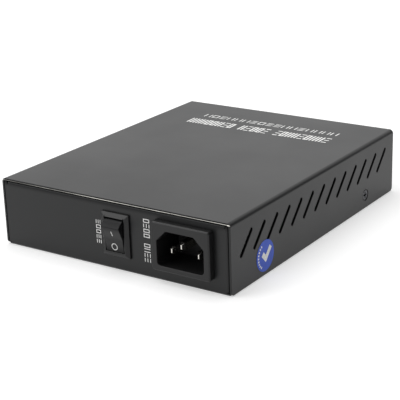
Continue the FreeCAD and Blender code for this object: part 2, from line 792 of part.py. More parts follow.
def switch_rocker():
    """Two sloping pressing faces over round end walls, hollow below, with trunnions and stem."""
    tip = (rocker_radius * math.sin(math.radians(rocker_tip_angle)),
           rocker_radius * math.cos(math.radians(rocker_tip_angle)))
    skirt = (rocker_radius * math.sin(math.radians(rocker_skirt_angle)),
             rocker_radius * math.cos(math.radians(rocker_skirt_angle)))
    valley = tip[0] - tip[1] * math.tan(math.radians(rocker_valley_angle))
    low_x = switch_x - rocker_width / 2
    high_x = switch_x + rocker_width / 2

    def place(out, up):
        return V(low_x, pivot_y + out, switch_height + up)

    middle_angle = math.radians((rocker_tip_angle + rocker_skirt_angle) / 2)
    bulge = (rocker_radius * math.sin(middle_angle), rocker_radius * math.cos(middle_angle))
    faces = rounded_edges([place(*tip), place(valley, 0), place(tip[0], -tip[1])],
                          [0, rocker_valley_radius, 0])
    lower_wall = Part.Arc(place(tip[0], -tip[1]), place(bulge[0], -bulge[1]),
                          place(skirt[0], -skirt[1])).toShape()
    underside = Part.LineSegment(place(skirt[0], -skirt[1]), place(*skirt)).toShape()
    upper_wall = Part.Arc(place(*skirt), place(*bulge), place(*tip)).toShape()
    outline = Part.Wire(faces + [lower_wall, underside, upper_wall])
    shape = Part.Face(outline).extrude(V(rocker_width, 0, 0))

    ceiling = valley - rocker_wall
    middle = stem_radius + rocker_wall / 2
    for side in (-1, 1):
        pocket = extruded([(pivot_y + skirt[0] - 1, switch_height + side * middle),
                           (pivot_y + ceiling, switch_height + side * middle),
                           (pivot_y + ceiling, switch_height + side * (tip[1] - rocker_wall * 0.6)),
                           (pivot_y + skirt[0] - 1, switch_height + side * (skirt[1] - rocker_wall))],
                          "x", low_x + rocker_wall, high_x - rocker_wall)
        shape = shape.cut(pocket)
    axis_low = V(low_x, pivot_y, switch_height)
    axis_high = V(high_x, pivot_y, switch_height)
    hub = rod(stem_radius, axis_low, axis_high)
    reach = V(trunnion_length + rocker_side_gap - 2 * running_gap, 0, 0)
    trunnion = rod(trunnion_radius, axis_low - reach, axis_high + reach)
    post = block((switch_x - stem_radius, pivot_y, switch_height - stem_radius),
                 (switch_x + stem_radius, pivot_y + valley - rocker_wall / 2,
                  switch_height + stem_radius))
    web = block((low_x, pivot_y, switch_height - stem_radius),
                (high_x, pivot_y + skirt[0] + rocker_wall / 2, switch_height + stem_radius))
    stem = rod(stem_radius, V(switch_x, pivot_y, switch_height),
               V(switch_x, pivot_y - stem_length, switch_height))
    shape = joined([shape, hub, trunnion, post, web, stem])
    bore = rod(plunger_radius + running_gap, V(switch_x, pivot_y - stem_length - 1, switch_height),
               V(switch_x, pivot_y, switch_height))
    return at_rest(shape.cut(bore))


def switch_plunger():
    """Round-nosed pin that the spring pushes out of the stem onto the contact strip."""
    nose = plunger_reach - plunger_radius * 0.7
    profile = [(0, spring_length), (plunger_radius, spring_length), (plunger_radius, nose),
               (plunger_radius * 0.55, plunger_reach - plunger_radius * 0.1), (0, plunger_reach)]
    return at_rest(turned(profile, V(switch_x, pivot_y, switch_height), V(0, -1, 0)))


def switch_spring():
    """Coil spring between the bottom of the stem's bore and the plunger, drawn as a sleeve."""
    inner = plunger_radius - spring_wire
    profile = [(inner, 0), (plunger_radius, 0), (plunger_radius, spring_length),
               (inner, spring_length)]
    return at_rest(turned(profile, V(switch_x, pivot_y, switch_height), V(0, -1, 0)))


def terminal_heights():
    return switch_height, switch_height - load_terminal_drop


def switch_contact():
    """Copper strip that tips on the line terminal's edge when the plunger crosses it."""
    half = contact_length / 2
    shape = block((switch_x - contact_width / 2, contact_axis_y, switch_height - half),
                  (switch_x + contact_width / 2, contact_axis_y + contact_thickness,
                   switch_height + half))
    shape.rotate(V(switch_x, contact_axis_y, switch_height), V(1, 0, 0), contact_travel / 2)
    return shape


def terminal(z, top_y):
    """Flat terminal blade through the switch's floor, from a contact face to its tab."""
    end = switch_back_y - terminal_length
    half = tab_width / 2
    tip = half - tab_chamfer
    return extruded([(switch_x - half, top_y), (switch_x - half, end + tab_chamfer),
                     (switch_x - tip, end), (switch_x + tip, end),
                     (switch_x + half, end + tab_chamfer), (switch_x + half, top_y)],
                    "z", z - tab_thickness / 2, z + tab_thickness / 2)


def switch_line_terminal():
    """Blade whose inner edge is the knife edge that the contact strip tips on."""
    knife = contact_axis_y - terminal_gap
    shoulder = knife - knife_height
    z = terminal_heights()[0]
    blade = terminal(z, shoulder)
    edge = extruded([(shoulder, z - tab_thickness / 2), (shoulder, z + tab_thickness / 2), (knife, z)],
                    "x", switch_x - tab_width / 2, switch_x + tab_width / 2)
    return joined([blade, edge])


def switch_load_terminal():
    """Blade with the fixed contact that the strip's lower end comes down on."""
    dip = load_terminal_drop * math.sin(math.radians(contact_travel / 2))
    return terminal(terminal_heights()[1], contact_axis_y - dip - terminal_gap * 2)


# ================================================================ boards
def board(front, depth, places):
    shape = block((-board_half_width, front, board_bottom),
                  (board_half_width, front + depth, board_top))
    holes = [rod(thread_radius + board_hole_gap, place, place + V(0, 0, board_top + 1))
             for place in places]
    return shape.cut(grouped(holes))


def converter_board():
    return board(converter_front, converter_board_depth, standoff_places()[0])


def supply_board():
    return board(supply_front, supply_board_depth, standoff_places()[1])


def jack_front():
    return -wall_y - jack_proud


def jack_shield():
    """Tinned can around the network jack: open in front and below."""
    y = jack_front()
    outer = block((jack_x - jack_width / 2, y, board_top),
                  (jack_x + jack_width / 2, y + jack_depth, board_top + jack_height))
    inner = block((jack_x - jack_width / 2 + can_thickness, y - 1, board_top - 1),
                  (jack_x + jack_width / 2 - can_thickness, y + jack_depth - can_thickness,
                   board_top + jack_height - can_thickness))
    return outer.cut(inner)


def jack_insert():
    """Moulded body of the network jack with the plug cavity and its latch keyway."""
    y = jack_front() + jack_lip
    side = jack_width / 2 - can_thickness
    shape = block((jack_x - side, y, board_top),
                  (jack_x + side, jack_front() + jack_depth - can_thickness,
                   board_top + jack_height - can_thickness))
    sill = board_top + plug_sill
    half = plug_width / 2
    key = latch_width / 2
    outline = [(jack_x - half, sill), (jack_x - key, sill), (jack_x - key, sill - latch_height),
               (jack_x + key, sill - latch_height), (jack_x + key, sill), (jack_x + half, sill),
               (jack_x + half, sill + plug_height), (jack_x - half, sill + plug_height)]
    return shape.cut(extruded(outline, "y", y - 1, jack_front() + plug_depth))


def jack_contacts():
    """Eight springy gold wires slanting down from the roof of the plug cavity."""
    back = jack_front() + plug_depth
    roof = board_top + plug_sill + plug_height
    wires = []
    low = roof - contact_drop
    bend = back - contact_reach
    for i in range(8):
        x = jack_x + (i - 3.5) * contact_pitch
        outline = [(back, low), (back, low + contact_wire), (bend, roof),
                   (bend - 3 * contact_wire, roof)]
        wires.append(extruded(outline, "x", x - contact_wire / 2, x + contact_wire / 2))
    return grouped(wires)


def fibre_bottom():
    return board_top + fibre_lift


def fibre_front():
    return -wall_y - fibre_proud


def fibre_axes():
    z = fibre_bottom() + fibre_height / 2
    return [(fibre_x + side * fibre_pitch / 2, z) for side in (-1, 1)]


def fibre_housing():
    """Duplex optical transceiver: two keyed square ports in a ribbed moulded block."""
    y = fibre_front()
    low = fibre_bottom()
    half = fibre_width / 2
    shoulder = y + fibre_port_depth + fibre_nose
    top = low + fibre_height - fibre_shoulder
    nose = extruded(rectangle(fibre_x, low + fibre_height / 2, fibre_width, fibre_height), "y",
                    y, shoulder, fibre_corner)
    rear = extruded([(fibre_x - half, low), (fibre_x + half, low),
                     (fibre_x + half, top - fibre_slant), (fibre_x + half - fibre_slant, top),
                     (fibre_x - half + fibre_slant, top), (fibre_x - half, top - fibre_slant)],
                    "y", shoulder, y + fibre_depth)
    shape = joined([nose, rear])
    for x, z in fibre_axes():
        port = extruded(rectangle(x, z, fibre_port_width, fibre_port_height), "y",
                        y - 1, y + fibre_port_depth)
        key = extruded(rectangle(x, z + fibre_port_height / 2, fibre_key_width,
                                 2 * fibre_key_height), "y", y - 1, y + fibre_port_depth)
        shape = shape.cut(joined([port, key]))
    return shape


def fibre_barrel(x, z):
    """Sleeve that centres the plug's ferrule, standing on the floor of its port."""
    length = fibre_port_depth - barrel_inset
    return turned([(barrel_bore, 0), (barrel_radius, 0), (barrel_radius, length - barrel_lead_in),
                   (barrel_radius - barrel_lead_in, length), (barrel_bore, length)],
                  V(x, fibre_front() + fibre_port_depth, z), V(0, -1, 0))


def fibre_module_pins():
    """Nine signal pins in a row and two stout mounting pins, all down to the board."""
    row_y = fibre_front() + fibre_depth - module_pin_inset
    places = [(fibre_x + (i - 4) * module_pin_pitch, row_y, module_pin) for i in range(9)]
    places += [(fibre_x + side * (fibre_width / 2 - module_pin_inset),
                fibre_front() + fibre_port_depth + module_post_inset, module_post)
               for side in (-1, 1)]
    return grouped([block((x - size / 2, y - size / 2, board_top),
                          (x + size / 2, y + size / 2, fibre_bottom())) for x, y, size in places])


def led_holder():
    """Moulded block behind the front wall that holds the lamps in line with their holes."""
    front = -wall_y + sheet + led_holder_gap
    back = front + led_holder_depth
    half = (led_columns - 1) * led_pitch / 2 + led_holder_rim
    top = led_height + (led_rows - 1) * led_pitch + led_holder_rim
    shape = block((led_x - half, front, board_top), (led_x + half, back, top))
    foot = block((led_x - half - led_foot_reach, front + led_foot_reach, board_top),
                 (led_x + half + led_foot_reach, back, board_top + led_foot_height))
    shape = joined([shape, foot])
    for x, z in led_places():
        shape = shape.cut(rod(led_radius + led_gap, V(x, front - 1, z), V(x, back + 1, z)))
    return shape


def status_leds():
    """Round lamps with domed tips just proud of the front wall."""
    dome = led_radius * 0.6
    profile = [(0, 0), (led_radius, 0), (led_radius, led_length - dome),
               (led_radius * 0.6, led_length), (0, led_length)]
    back = -wall_y - led_proud + led_length
    return grouped([turned(profile, V(x, back, z), V(0, -1, 0)) for x, z in led_places()])


def moulded_half(x, y, width, depth, low, high, low_draft, high_draft):
    """Half of a moulded package: its edges lean in by a draft at one of its two levels."""
    wires = []
    for z, draft in ((low, low_draft), (high, high_draft)):
        corners = rectangle(x, y, width - draft, depth - draft)
        wires.append(Part.makePolygon([V(u, v, z) for u, v in corners + corners[:1]]))
    return Part.makeLoft(wires, True, True)


def packaged_chip(place, width, depth, height, leads, lead_pitch, all_round=False):
    """Moulded package on bent leads down to the board, on its long sides or all round."""
    x, y = place
    low = board_top + solder_lift
    middle = low + height / 2
    pieces = [moulded_half(x, y, width, depth, low, middle, mould_draft, 0),
              moulded_half(x, y, width, depth, middle, low + height, 0, mould_draft)]
    half = lead_thickness / 2
    for turn in (0, 90, 180, 270) if all_round else (0, 180):
        reach = (width if turn % 180 else depth) / 2
        knee = reach + lead_foot * 0.6
        outline = [(reach - half, middle - half), (reach - half, middle + half),
                   (knee, middle + half), (reach + lead_foot, board_top), (knee, board_top)]
        for i in range(leads):
            offset = (i - (leads - 1) / 2) * lead_pitch
            leg = extruded(outline, "x", offset - lead_pitch * 0.2, offset + lead_pitch * 0.2)
            leg.rotate(V(0, 0, 0), V(0, 0, 1), turn)
            leg.translate(V(x, y, 0))
            pieces.append(leg)
    return joined(pieces)


def converter_chip():
    return packaged_chip(on_converter(chip_place), chip_width, chip_width, chip_height,
                         5, chip_lead_pitch, all_round=True)


def line_transformer():
    return packaged_chip(on_converter(magnetics_place), magnetics_width, magnetics_depth,
                         magnetics_height, 5, magnetics_lead_pitch)


def crystal():
    """Crystal can: a racetrack-shaped metal case on a thin flanged base."""
    x, y = on_converter(crystal_place)
    base = extruded(rectangle(x, y, crystal_width, crystal_depth), "z", board_top,
                    board_top + crystal_base, crystal_depth * 0.49)
    can_depth = crystal_depth - 2 * crystal_flange
    can = extruded(rectangle(x, y, crystal_width - 2 * crystal_flange, can_depth), "z",
                   board_top + crystal_base, board_top + crystal_height, can_depth * 0.49)
    return joined([base, can])


def voltage_regulators():
    """Two surface-mounted regulators: a moulded body on a wide metal tab, and two legs."""
    parts = []
    half = regulator_depth / 2
    leg_thickness = regulator_leg / 2
    for place in regulator_places:
        x, y = on_converter(place)
        tab = block((x - regulator_width * 0.4, y + half - leg_thickness, board_top),
                    (x + regulator_width * 0.4, y + half + regulator_tab, board_top + leg_thickness))
        body = extruded([(y - half, board_top + solder_lift), (y + half, board_top),
                         (y + half - mould_draft, board_top + regulator_height),
                         (y - half + mould_draft, board_top + regulator_height)], "x",
                        x - regulator_width / 2, x + regulator_width / 2)
        outline = [(y - half + mould_draft, board_top + regulator_height / 2),
                   (y - half - regulator_tab, board_top),
                   (y - half - regulator_tab, board_top + leg_thickness),
                   (y - half + mould_draft, board_top + regulator_height / 2 + leg_thickness)]
        legs = []
        for side in (-1, 1):
            middle = x + side * regulator_leg_pitch / 2
            legs.append(extruded(outline, "x", middle - regulator_leg / 2,
                                 middle + regulator_leg / 2))
        parts.append(joined([tab, body] + legs))
    return grouped(parts)


def board_capacitors():
    cans = []
    for place in small_capacitor_places:
        foot = V(*on_converter(place), board_top)
        cans.append(rod(small_capacitor_radius, foot, foot + V(0, 0, small_capacitor_height)))
    return grouped(cans)


def bulk_capacitor():
    """Aluminium can with a crimped groove near its foot."""
    low = bulk_groove_lift
    return turned([(0, 0), (bulk_radius, 0), (bulk_radius, low),
                   (bulk_radius - bulk_groove, low + bulk_groove),
                   (bulk_radius, low + 2 * bulk_groove), (bulk_radius, bulk_height),
                   (0, bulk_height)], V(*on_supply(bulk_place), board_top))


def output_capacitors():
    cans = []
    for place in output_capacitor_places:
        foot = V(*on_supply(place), board_top)
        cans.append(rod(output_capacitor_radius, foot, foot + V(0, 0, output_capacitor_height)))
    return grouped(cans)


def wire_header(place, ways, pitch, height, facing):
    """Stepped housing with a square wire entry for each way in the side that it faces."""
    x, y = place
    half = ways * pitch / 2 + header_margin
    shape = block((x - half, y - header_depth / 2, board_top),
                  (x + half, y + header_depth / 2, board_top + height))
    step = y + facing * header_depth / 2
    low = min(step, step - facing * header_step)
    shape = shape.cut(block((x - half - 1, low, board_top + height - header_step_drop),
                            (x + half + 1, low + header_step, board_top + height + 1)))
    reach = wire_radius + entry_gap
    z = board_top + header_entry
    for wx, wy in header_ways(place, ways, pitch, facing):
        low = min(step, wy - facing * entry_gap)
        high = max(step, wy - facing * entry_gap)
        shape = shape.cut(block((wx - reach, low, z - reach), (wx + reach, high, z + reach)))
    return shape


def header_ways(place, ways, pitch, facing):
    """Where each wire ends inside a header: (x, y)."""
    x, y = place
    end = y + facing * (header_depth / 2 - entry_depth)
    return [(x + (i - (ways - 1) / 2) * pitch, end) for i in range(ways)]


def mains_terminal_place():
    return inlet_x + mains_terminal_shift, supply_rear - mains_terminal_y


def mains_terminal():
    """Three-way screw terminal: wires enter from behind, a screw well over each."""
    x, y = mains_terminal_place()
    shape = wire_header((x, y), 3, mains_terminal_pitch, mains_terminal_height, 1)
    top = board_top + mains_terminal_height
    half = terminal_screw / 2
    for wx, _ in header_ways((x, y), 3, mains_terminal_pitch, 1):
        shape = shape.cut(block((wx - half, y - header_step - half, top - terminal_screw_depth),
                                (wx + half, y - header_step + half, top + 1)))
    return shape


def output_header_place():
    return output_header_x, supply_front + output_header_edge


def output_header():
    return wire_header(output_header_place(), 2, header_pitch, header_height, -1)


def power_socket():
    return wire_header(on_converter(power_socket_place), 2, header_pitch, header_height, 1)


def fuse_middle():
    """Middle of the fuse, clear of the mains terminal beside it."""
    x, _ = mains_terminal_place()
    beside = x + 1.5 * mains_terminal_pitch + header_margin
    return V(beside + fuse_gap + fuse_length / 2, supply_rear - fuse_y, board_top + fuse_lift)


def fuse():
    """Glass fuse: a tube between two metal caps."""
    half = fuse_length / 2
    glass = fuse_radius - fuse_cap_step
    profile = [(0, -half), (fuse_radius, -half), (fuse_radius, -half + fuse_cap),
               (glass, -half + fuse_cap), (glass, half - fuse_cap),
               (fuse_radius, half - fuse_cap), (fuse_radius, half), (0, half)]
    return turned(profile, fuse_middle(), V(1, 0, 0))


def fuse_clips():
    """Two sprung clips, open upwards, that grip the fuse by its caps."""
    middle = fuse_middle()
    half = V(clip_width / 2, 0, 0)
    mouth = (fuse_radius + clip_thickness) * 0.6
    clips = []
    for side in (-1, 1):
        at = middle + V(side * (fuse_length / 2 - clip_inset), 0, 0)
        ring = rod(fuse_radius + clip_thickness, at - half, at + half)
        foot = block((at.x - half.x, at.y - clip_foot / 2, board_top),
                     (at.x + half.x, at.y + clip_foot / 2, at.z - fuse_radius))
        shape = joined([ring, foot])
        shape = shape.cut(rod(fuse_radius + wire_gap / 2, at - half * 2, at + half * 2))
        clips.append(shape.cut(block((at.x - clip_width, at.y - mouth, at.z),
                                     (at.x + clip_width, at.y + mouth, at.z + 2 * fuse_radius))))
    return grouped(clips)


def noise_capacitor():
    """Boxed film capacitor across the mains, standing on a rim round its underside."""
    x, y = on_supply(noise_capacitor_place)
    half_x = noise_capacitor_width / 2
    half_y = noise_capacitor_depth / 2
    shape = block((x - half_x, y - half_y, board_top),
                  (x + half_x, y + half_y, board_top + noise_capacitor_height))
    half_x -= noise_capacitor_wall
    half_y -= noise_capacitor_wall
    return shape.cut(block((x - half_x, y - half_y, board_top - 1),
                           (x + half_x, y + half_y, board_top + noise_capacitor_recess)))


def choke_middle():
    """Middle of the choke's lower face."""
    return V(-board_half_width + choke_inset, supply_rear - choke_y, board_top + choke_lift)


def choke_core():
    return turned([(choke_inner, 0), (choke_outer, 0), (choke_outer, choke_height),
                   (choke_inner, choke_height)], choke_middle())


def choke_winding():
    """Two coils of thick wire round opposite sides of the ring core, on four straight legs."""
    middle = choke_middle()
    inner = choke_inner - choke_wire_gap
    outer = choke_outer + choke_wire_gap
    low = -choke_wire_gap
    high = choke_height + choke_wire_gap
    wire = choke_wire
    around = [(inner - wire, low - wire), (outer + wire, low - wire),
              (outer + wire, high + wire), (inner - wire, high + wire)]
    turn = extruded(around, "y", -wire / 2, wire / 2)
    turn = turn.cut(extruded([(inner, low), (outer, low), (outer, high), (inner, high)],
                             "y", -wire, wire))
    leg = block((outer, -wire / 2, -choke_lift), (outer + wire, wire / 2, 0))
    pieces = []
    for side in (-1, 1):
        for i in range(choke_turns):
            step = i - (choke_turns - 1) / 2
            loop = joined([turn, leg]) if i in (0, choke_turns - 1) else turn.copy()
            loop.rotate(V(0, 0, 0), V(0, 0, 1), side * 90 + step * choke_turn_angle)
            loop.translate(middle)
            pieces.append(loop)
    return joined(pieces)


def bridge_rectifier():
    return packaged_chip(on_supply(rectifier_place), rectifier_width, rectifier_depth,
                         rectifier_height, 2, rectifier_lead_pitch)


def supply_chip():
    return packaged_chip(on_supply(supply_chip_place), supply_chip_width, supply_chip_depth,
                         supply_chip_height, 4, supply_chip_lead_pitch)


def output_diode():
    """Axial diode lying along the board, its two leads bent down."""
    x, y = on_supply(diode_place)
    z = board_top + diode_lift
    body = rod(diode_radius, V(x, y - diode_length / 2, z), V(x, y + diode_length / 2, z))
    legs = []
    for side in (-1, 1):
        out = y + side * diode_span / 2
        run = [V(x, y + side * (diode_length / 2 - diode_lead), z), V(x, out, z),
               V(x, out, board_top)]
        legs.append(wire(run, diode_lead, 2 * diode_lead))
    return joined([body] + legs)


def transformer_floor():
    x, y = on_supply(transformer_place)
    return x, y, board_top + transformer_lift


def transformer_core():
    """Two ferrite E halves meeting round the bobbin: a frame with a middle leg."""
    x, y, z = transformer_floor()
    frame = block((x - core_width / 2, y - core_depth / 2, z),
                  (x + core_width / 2, y + core_depth / 2, z + core_height))
    for side in (-1, 1):
        middle = x + side * (core_leg / 2 + core_window / 2)
        frame = frame.cut(block((middle - core_window / 2, y - core_depth, z + core_yoke),
                                (middle + core_window / 2, y + core_depth, z + core_height - core_yoke)))
    return frame


def transformer_bobbin():
    """Moulded former on the core's middle leg, with flanges and two rows of pin blocks."""
    x, y, z = transformer_floor()
    z += core_yoke + bobbin_gap
    height = core_height - 2 * (core_yoke + bobbin_gap)
    hole_w = core_leg + 2 * bobbin_gap
    hole_d = core_depth + 2 * bobbin_gap
    wall = bobbin_wall
    flange_w = core_leg + 2 * core_window - 2 * bobbin_gap
    flange_d = core_depth + 2 * bobbin_reach

    def layer(width, depth, low, high):
        return block((x - width / 2, y - depth / 2, low), (x + width / 2, y + depth / 2, high))

    shape = joined([layer(hole_w + 2 * wall, hole_d + 2 * wall, z, z + height),
                    layer(flange_w, flange_d, z, z + wall),
                    layer(flange_w, flange_d, z + height - wall, z + height)])
    shape = shape.cut(layer(hole_w, hole_d, z - 1, z + height + 1))
    feet = []
    for side in (-1, 1):
        edge = y + side * flange_d / 2
        inner = edge - side * bobbin_foot
        feet.append(block((x - flange_w / 2, min(edge, inner), board_top),
                          (x + flange_w / 2, max(edge, inner), z + wall)))
    return joined([shape] + feet)


def transformer_winding():
    """The wound and taped coil that fills the bobbin between its flanges."""
    x, y, z = transformer_floor()
    low = z + core_yoke + bobbin_wall + 2 * bobbin_gap
    high = z + core_height - core_yoke - bobbin_wall - 2 * bobbin_gap
    inner_w = core_leg + 2 * bobbin_wall + 3 * bobbin_gap
    inner_d = core_depth + 2 * bobbin_wall + 3 * bobbin_gap
    outer_w = core_leg + 2 * core_window - 10 * bobbin_gap
    coil = extruded(rectangle(x, y, outer_w, inner_d + outer_w - inner_w), "z", low, high,
                    winding_corner)
    return coil.cut(extruded(rectangle(x, y, inner_w, inner_d), "z", low - 1, high + 1))


# ================================================================ wiring
def wire(points, radius, bend):
    """A wire of six-sided section along straight runs joined by tangent arcs of one radius."""
    along = (points[1] - points[0]).normalize()
    across = along.cross(V(0, 0, 1))
    across = across.normalize() if across.Length > 0.1 else V(1, 0, 0)
    up = across.cross(along)
    corners = [points[0] + across * (radius * math.cos(math.radians(60 * i)))
               + up * (radius * math.sin(math.radians(60 * i))) for i in range(6)]
    section = Part.makePolygon(corners + corners[:1])
    path = Part.Wire(rounded_edges(points, bend))
    return path.makePipeShell([section], True, False)


def earth_stud_place():
    return V(inlet_x + stud_shift, wall_y - stud_inset, 0)


def earth_stud():
    """Screw pressed through the tray from below, with a nut that clamps the ring lug."""
    tip = stud_radius * 0.2
    return turned([(0, neck_gap), (stud_neck, neck_gap), (stud_neck, sheet), (stud_radius, sheet),
                   (stud_radius, stud_top - tip), (stud_radius - tip, stud_top), (0, stud_top)],
                  earth_stud_place())


def earth_nut():
    place = earth_stud_place()
    low = sheet + lug_thickness
    shape = extruded(hexagon(place, nut_radius), "z", low, low + nut_height)
    return shape.cut(rod(stud_radius + thread_gap, place, place + V(0, 0, stud_top + 1)))


def earth_wire():
    """Wire from the inlet's earth tab to a ring lug under the nut on the tray."""
    start = tab_end_point("earth")
    place = earth_stud_place()
    top = sheet + lug_thickness
    ring = rod(lug_radius, place + V(0, 0, sheet), place + V(0, 0, top))
    crimp_y = place.y - lug_tongue
    tongue = block((place.x - wire_radius, crimp_y, sheet), (place.x + wire_radius, place.y, top))
    ring = joined([ring, tongue]).cut(rod(stud_radius + thread_gap, place, V(place.x, place.y, stud_top)))
    crimp = block((place.x - wire_radius, crimp_y - lug_crimp, sheet),
                  (place.x + wire_radius, crimp_y, sheet + 2 * wire_radius))
    down = crimp_y - lug_crimp - wire_straight
    run = [start, V(start.x, start.y - wire_straight, start.z),
           V(place.x, start.y - wire_straight, start.z),
           V(place.x, down + 0.1, sheet + wire_radius),
           V(place.x, crimp_y - 0.1, sheet + wire_radius)]
    return joined([wire(run, wire_radius, wire_bend * 0.8), ring, crimp])


def mains_way(i):
    """Where a wire ends inside the mains terminal."""
    place = mains_terminal_place()
    return V(*header_ways(place, 3, mains_terminal_pitch, 1)[i], board_top + header_entry)


def tab_end_point(name):
    x, z, _ = inlet_pin_places()[name]
    return V(x, recess_floor_y - inlet_floor - tab_length - wire_gap, z)


def terminal_end_point(z):
    return V(switch_x, switch_back_y - terminal_length - wire_gap, z)


def across_run(start, end):
    """A mains wire's route: forward, across behind the supply board, and to its end."""
    near = supply_rear + edge_clearance
    return [start, V(start.x, near, start.z), V(end.x, near, end.z), end]


def neutral_wire():
    start = tab_end_point("neutral")
    end = mains_way(0)
    run = [start, start - V(0, wire_straight, 0), end + V(0, 2 * wire_straight, 0), end]
    return wire(run, wire_radius, wire_bend)


def line_wire():
    """From the inlet's line tab across to the switch's line terminal."""
    run = across_run(tab_end_point("line"), terminal_end_point(terminal_heights()[0]))
    return wire(run, wire_radius, wire_bend)


def switched_wire():
    """From the switch's load terminal back to the mains terminal on the supply board."""
    run = across_run(terminal_end_point(terminal_heights()[1]), mains_way(2))
    return wire(run, wire_radius, wire_bend)


def power_cable():
    """Two low-voltage wires from the supply board to the converter board."""
    starts = header_ways(output_header_place(), 2, header_pitch, -1)
    ends = header_ways(on_converter(power_socket_place), 2, header_pitch, 1)
    wires = []
    for (start_x, start_y), (end_x, end_y) in zip(starts, ends):
        start = V(start_x, start_y, board_top + header_entry)
        end = V(end_x, end_y, board_top + header_entry)
        run = [start, start - V(0, entry_depth + 1, 0), end + V(0, entry_depth + 1, 0), end]
        wires.append(wire(run, wire_radius, wire_bend))
    return grouped(wires)


# ================================================================ the object
def build():
    pins = inlet_pin_places()
    pieces = {
        "base_tray": base_tray(),
        "top_cover": top_cover(),
        "cover_screws": grouped([cover_screw(*item) for item in cover_screw_places()]),
        "board_standoffs": grouped([standoff(p) for group in standoff_places() for p in group]),
        "board_screws": grouped([board_screw(p) for group in standoff_places() for p in group]),
        "round_seal": round_seal(),
        "insulating_sheet": insulating_sheet(),
        "inlet_housing": inlet_housing(),
        "inlet_line_pin": inlet_pin(*pins["line"]),
        "inlet_neutral_pin": inlet_pin(*pins["neutral"]),
        "inlet_earth_pin": inlet_pin(*pins["earth"]),
        "switch_housing": switch_housing(),
        "switch_rocker": switch_rocker(),
        "switch_plunger": switch_plunger(),
        "switch_spring": switch_spring(),
        "switch_contact": switch_contact(),
        "switch_line_terminal": switch_line_terminal(),
        "switch_load_terminal": switch_load_terminal(),
        "converter_board": converter_board(),
        "jack_shield": jack_shield(),
        "jack_insert": jack_insert(),
        "jack_contacts": jack_contacts(),
        "fibre_housing": fibre_housing(),
        "transmit_barrel": fibre_barrel(*fibre_axes()[0]),
        "receive_barrel": fibre_barrel(*fibre_axes()[1]),
        "fibre_module_pins": fibre_module_pins(),
        "status_leds": status_leds(),
        "led_holder": led_holder(),
        "converter_chip": converter_chip(),
        "line_transformer": line_transformer(),
        "crystal": crystal(),
        "voltage_regulators": voltage_regulators(),
        "board_capacitors": board_capacitors(),
        "power_socket": power_socket(),
        "supply_board": supply_board(),
        "transformer_core": transformer_core(),
        "transformer_bobbin": transformer_bobbin(),
        "transformer_winding": transformer_winding(),
        "bulk_capacitor": bulk_capacitor(),
        "output_capacitors": output_capacitors(),
        "fuse": fuse(),
        "fuse_clips": fuse_clips(),
        "choke_core": choke_core(),
        "choke_winding": choke_winding(),
        "noise_capacitor": noise_capacitor(),
        "bridge_rectifier": bridge_rectifier(),
        "supply_chip": supply_chip(),
        "output_diode": output_diode(),
        "mains_terminal": mains_terminal(),
        "output_header": output_header(),
        "earth_stud": earth_stud(),
        "earth_nut": earth_nut(),
        "line_wire": line_wire(),
        "switched_wire": switched_wire(),
        "neutral_wire": neutral_wire(),
        "earth_wire": earth_wire(),
        "power_cable": power_cable(),
    }
    os.makedirs("parts", exist_ok=True)
    for name, shape in pieces.items():
        save(name, shape)


build()
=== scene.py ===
import json
import math

import bmesh
import bpy
from mathutils import Matrix, Vector


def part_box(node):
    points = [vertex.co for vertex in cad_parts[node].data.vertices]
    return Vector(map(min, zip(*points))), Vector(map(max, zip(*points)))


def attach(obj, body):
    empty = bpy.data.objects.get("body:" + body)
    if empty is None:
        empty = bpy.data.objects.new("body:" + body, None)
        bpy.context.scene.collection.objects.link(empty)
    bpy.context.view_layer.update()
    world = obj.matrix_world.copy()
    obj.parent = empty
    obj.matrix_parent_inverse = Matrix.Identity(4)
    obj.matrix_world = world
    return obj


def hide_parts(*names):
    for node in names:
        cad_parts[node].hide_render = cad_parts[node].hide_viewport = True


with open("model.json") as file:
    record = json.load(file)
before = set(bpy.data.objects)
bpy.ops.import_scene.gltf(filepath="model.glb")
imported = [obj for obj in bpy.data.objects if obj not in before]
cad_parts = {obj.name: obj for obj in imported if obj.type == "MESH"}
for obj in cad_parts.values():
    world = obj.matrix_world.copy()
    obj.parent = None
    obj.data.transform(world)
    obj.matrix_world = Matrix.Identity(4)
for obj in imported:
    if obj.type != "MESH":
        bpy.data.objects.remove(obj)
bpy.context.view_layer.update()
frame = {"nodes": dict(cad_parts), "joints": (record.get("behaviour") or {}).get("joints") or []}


# ---------------------------------------------------------------- studio
# A plain white floor and a white surround, a large softbox overhead and a small one at the
# left. The surround is white, but dimmer towards -x and as a source of light.
scene = bpy.context.scene
mm = 0.001


def join(tree, node, inputs):
    """Links or sets a node's inputs. A node given for one stands for its first output."""
    for key, value in inputs.items():
        if isinstance(value, bpy.types.Node):
            value = value.outputs[0]
        if isinstance(value, bpy.types.NodeSocket):
            tree.links.new(value, node.inputs[key])
        else:
            node.inputs[key].default_value = value


def put(tree, kind, inputs=None, **settings):
    """Adds one node, sets its properties, and joins its inputs."""
    node = tree.nodes.new(kind)
    for key, value in settings.items():
        setattr(node, key, value)
    join(tree, node, inputs or {})
    return node


def shown(tree):
    """1 for rays from the camera, a mirror or glass, and 0 for those that carry light."""
    rays = put(tree, "ShaderNodeLightPath").outputs
    seen = rays["Is Camera Ray"]
    for kind in ("Is Glossy Ray", "Is Transmission Ray"):
        seen = put(tree, "ShaderNodeMath", {0: seen, 1: rays[kind]}, operation="MAXIMUM")
    return seen


world = bpy.data.worlds.new("studio_surround")
world.use_nodes = True
scene.world = world
tree = world.node_tree
tree.nodes.clear()
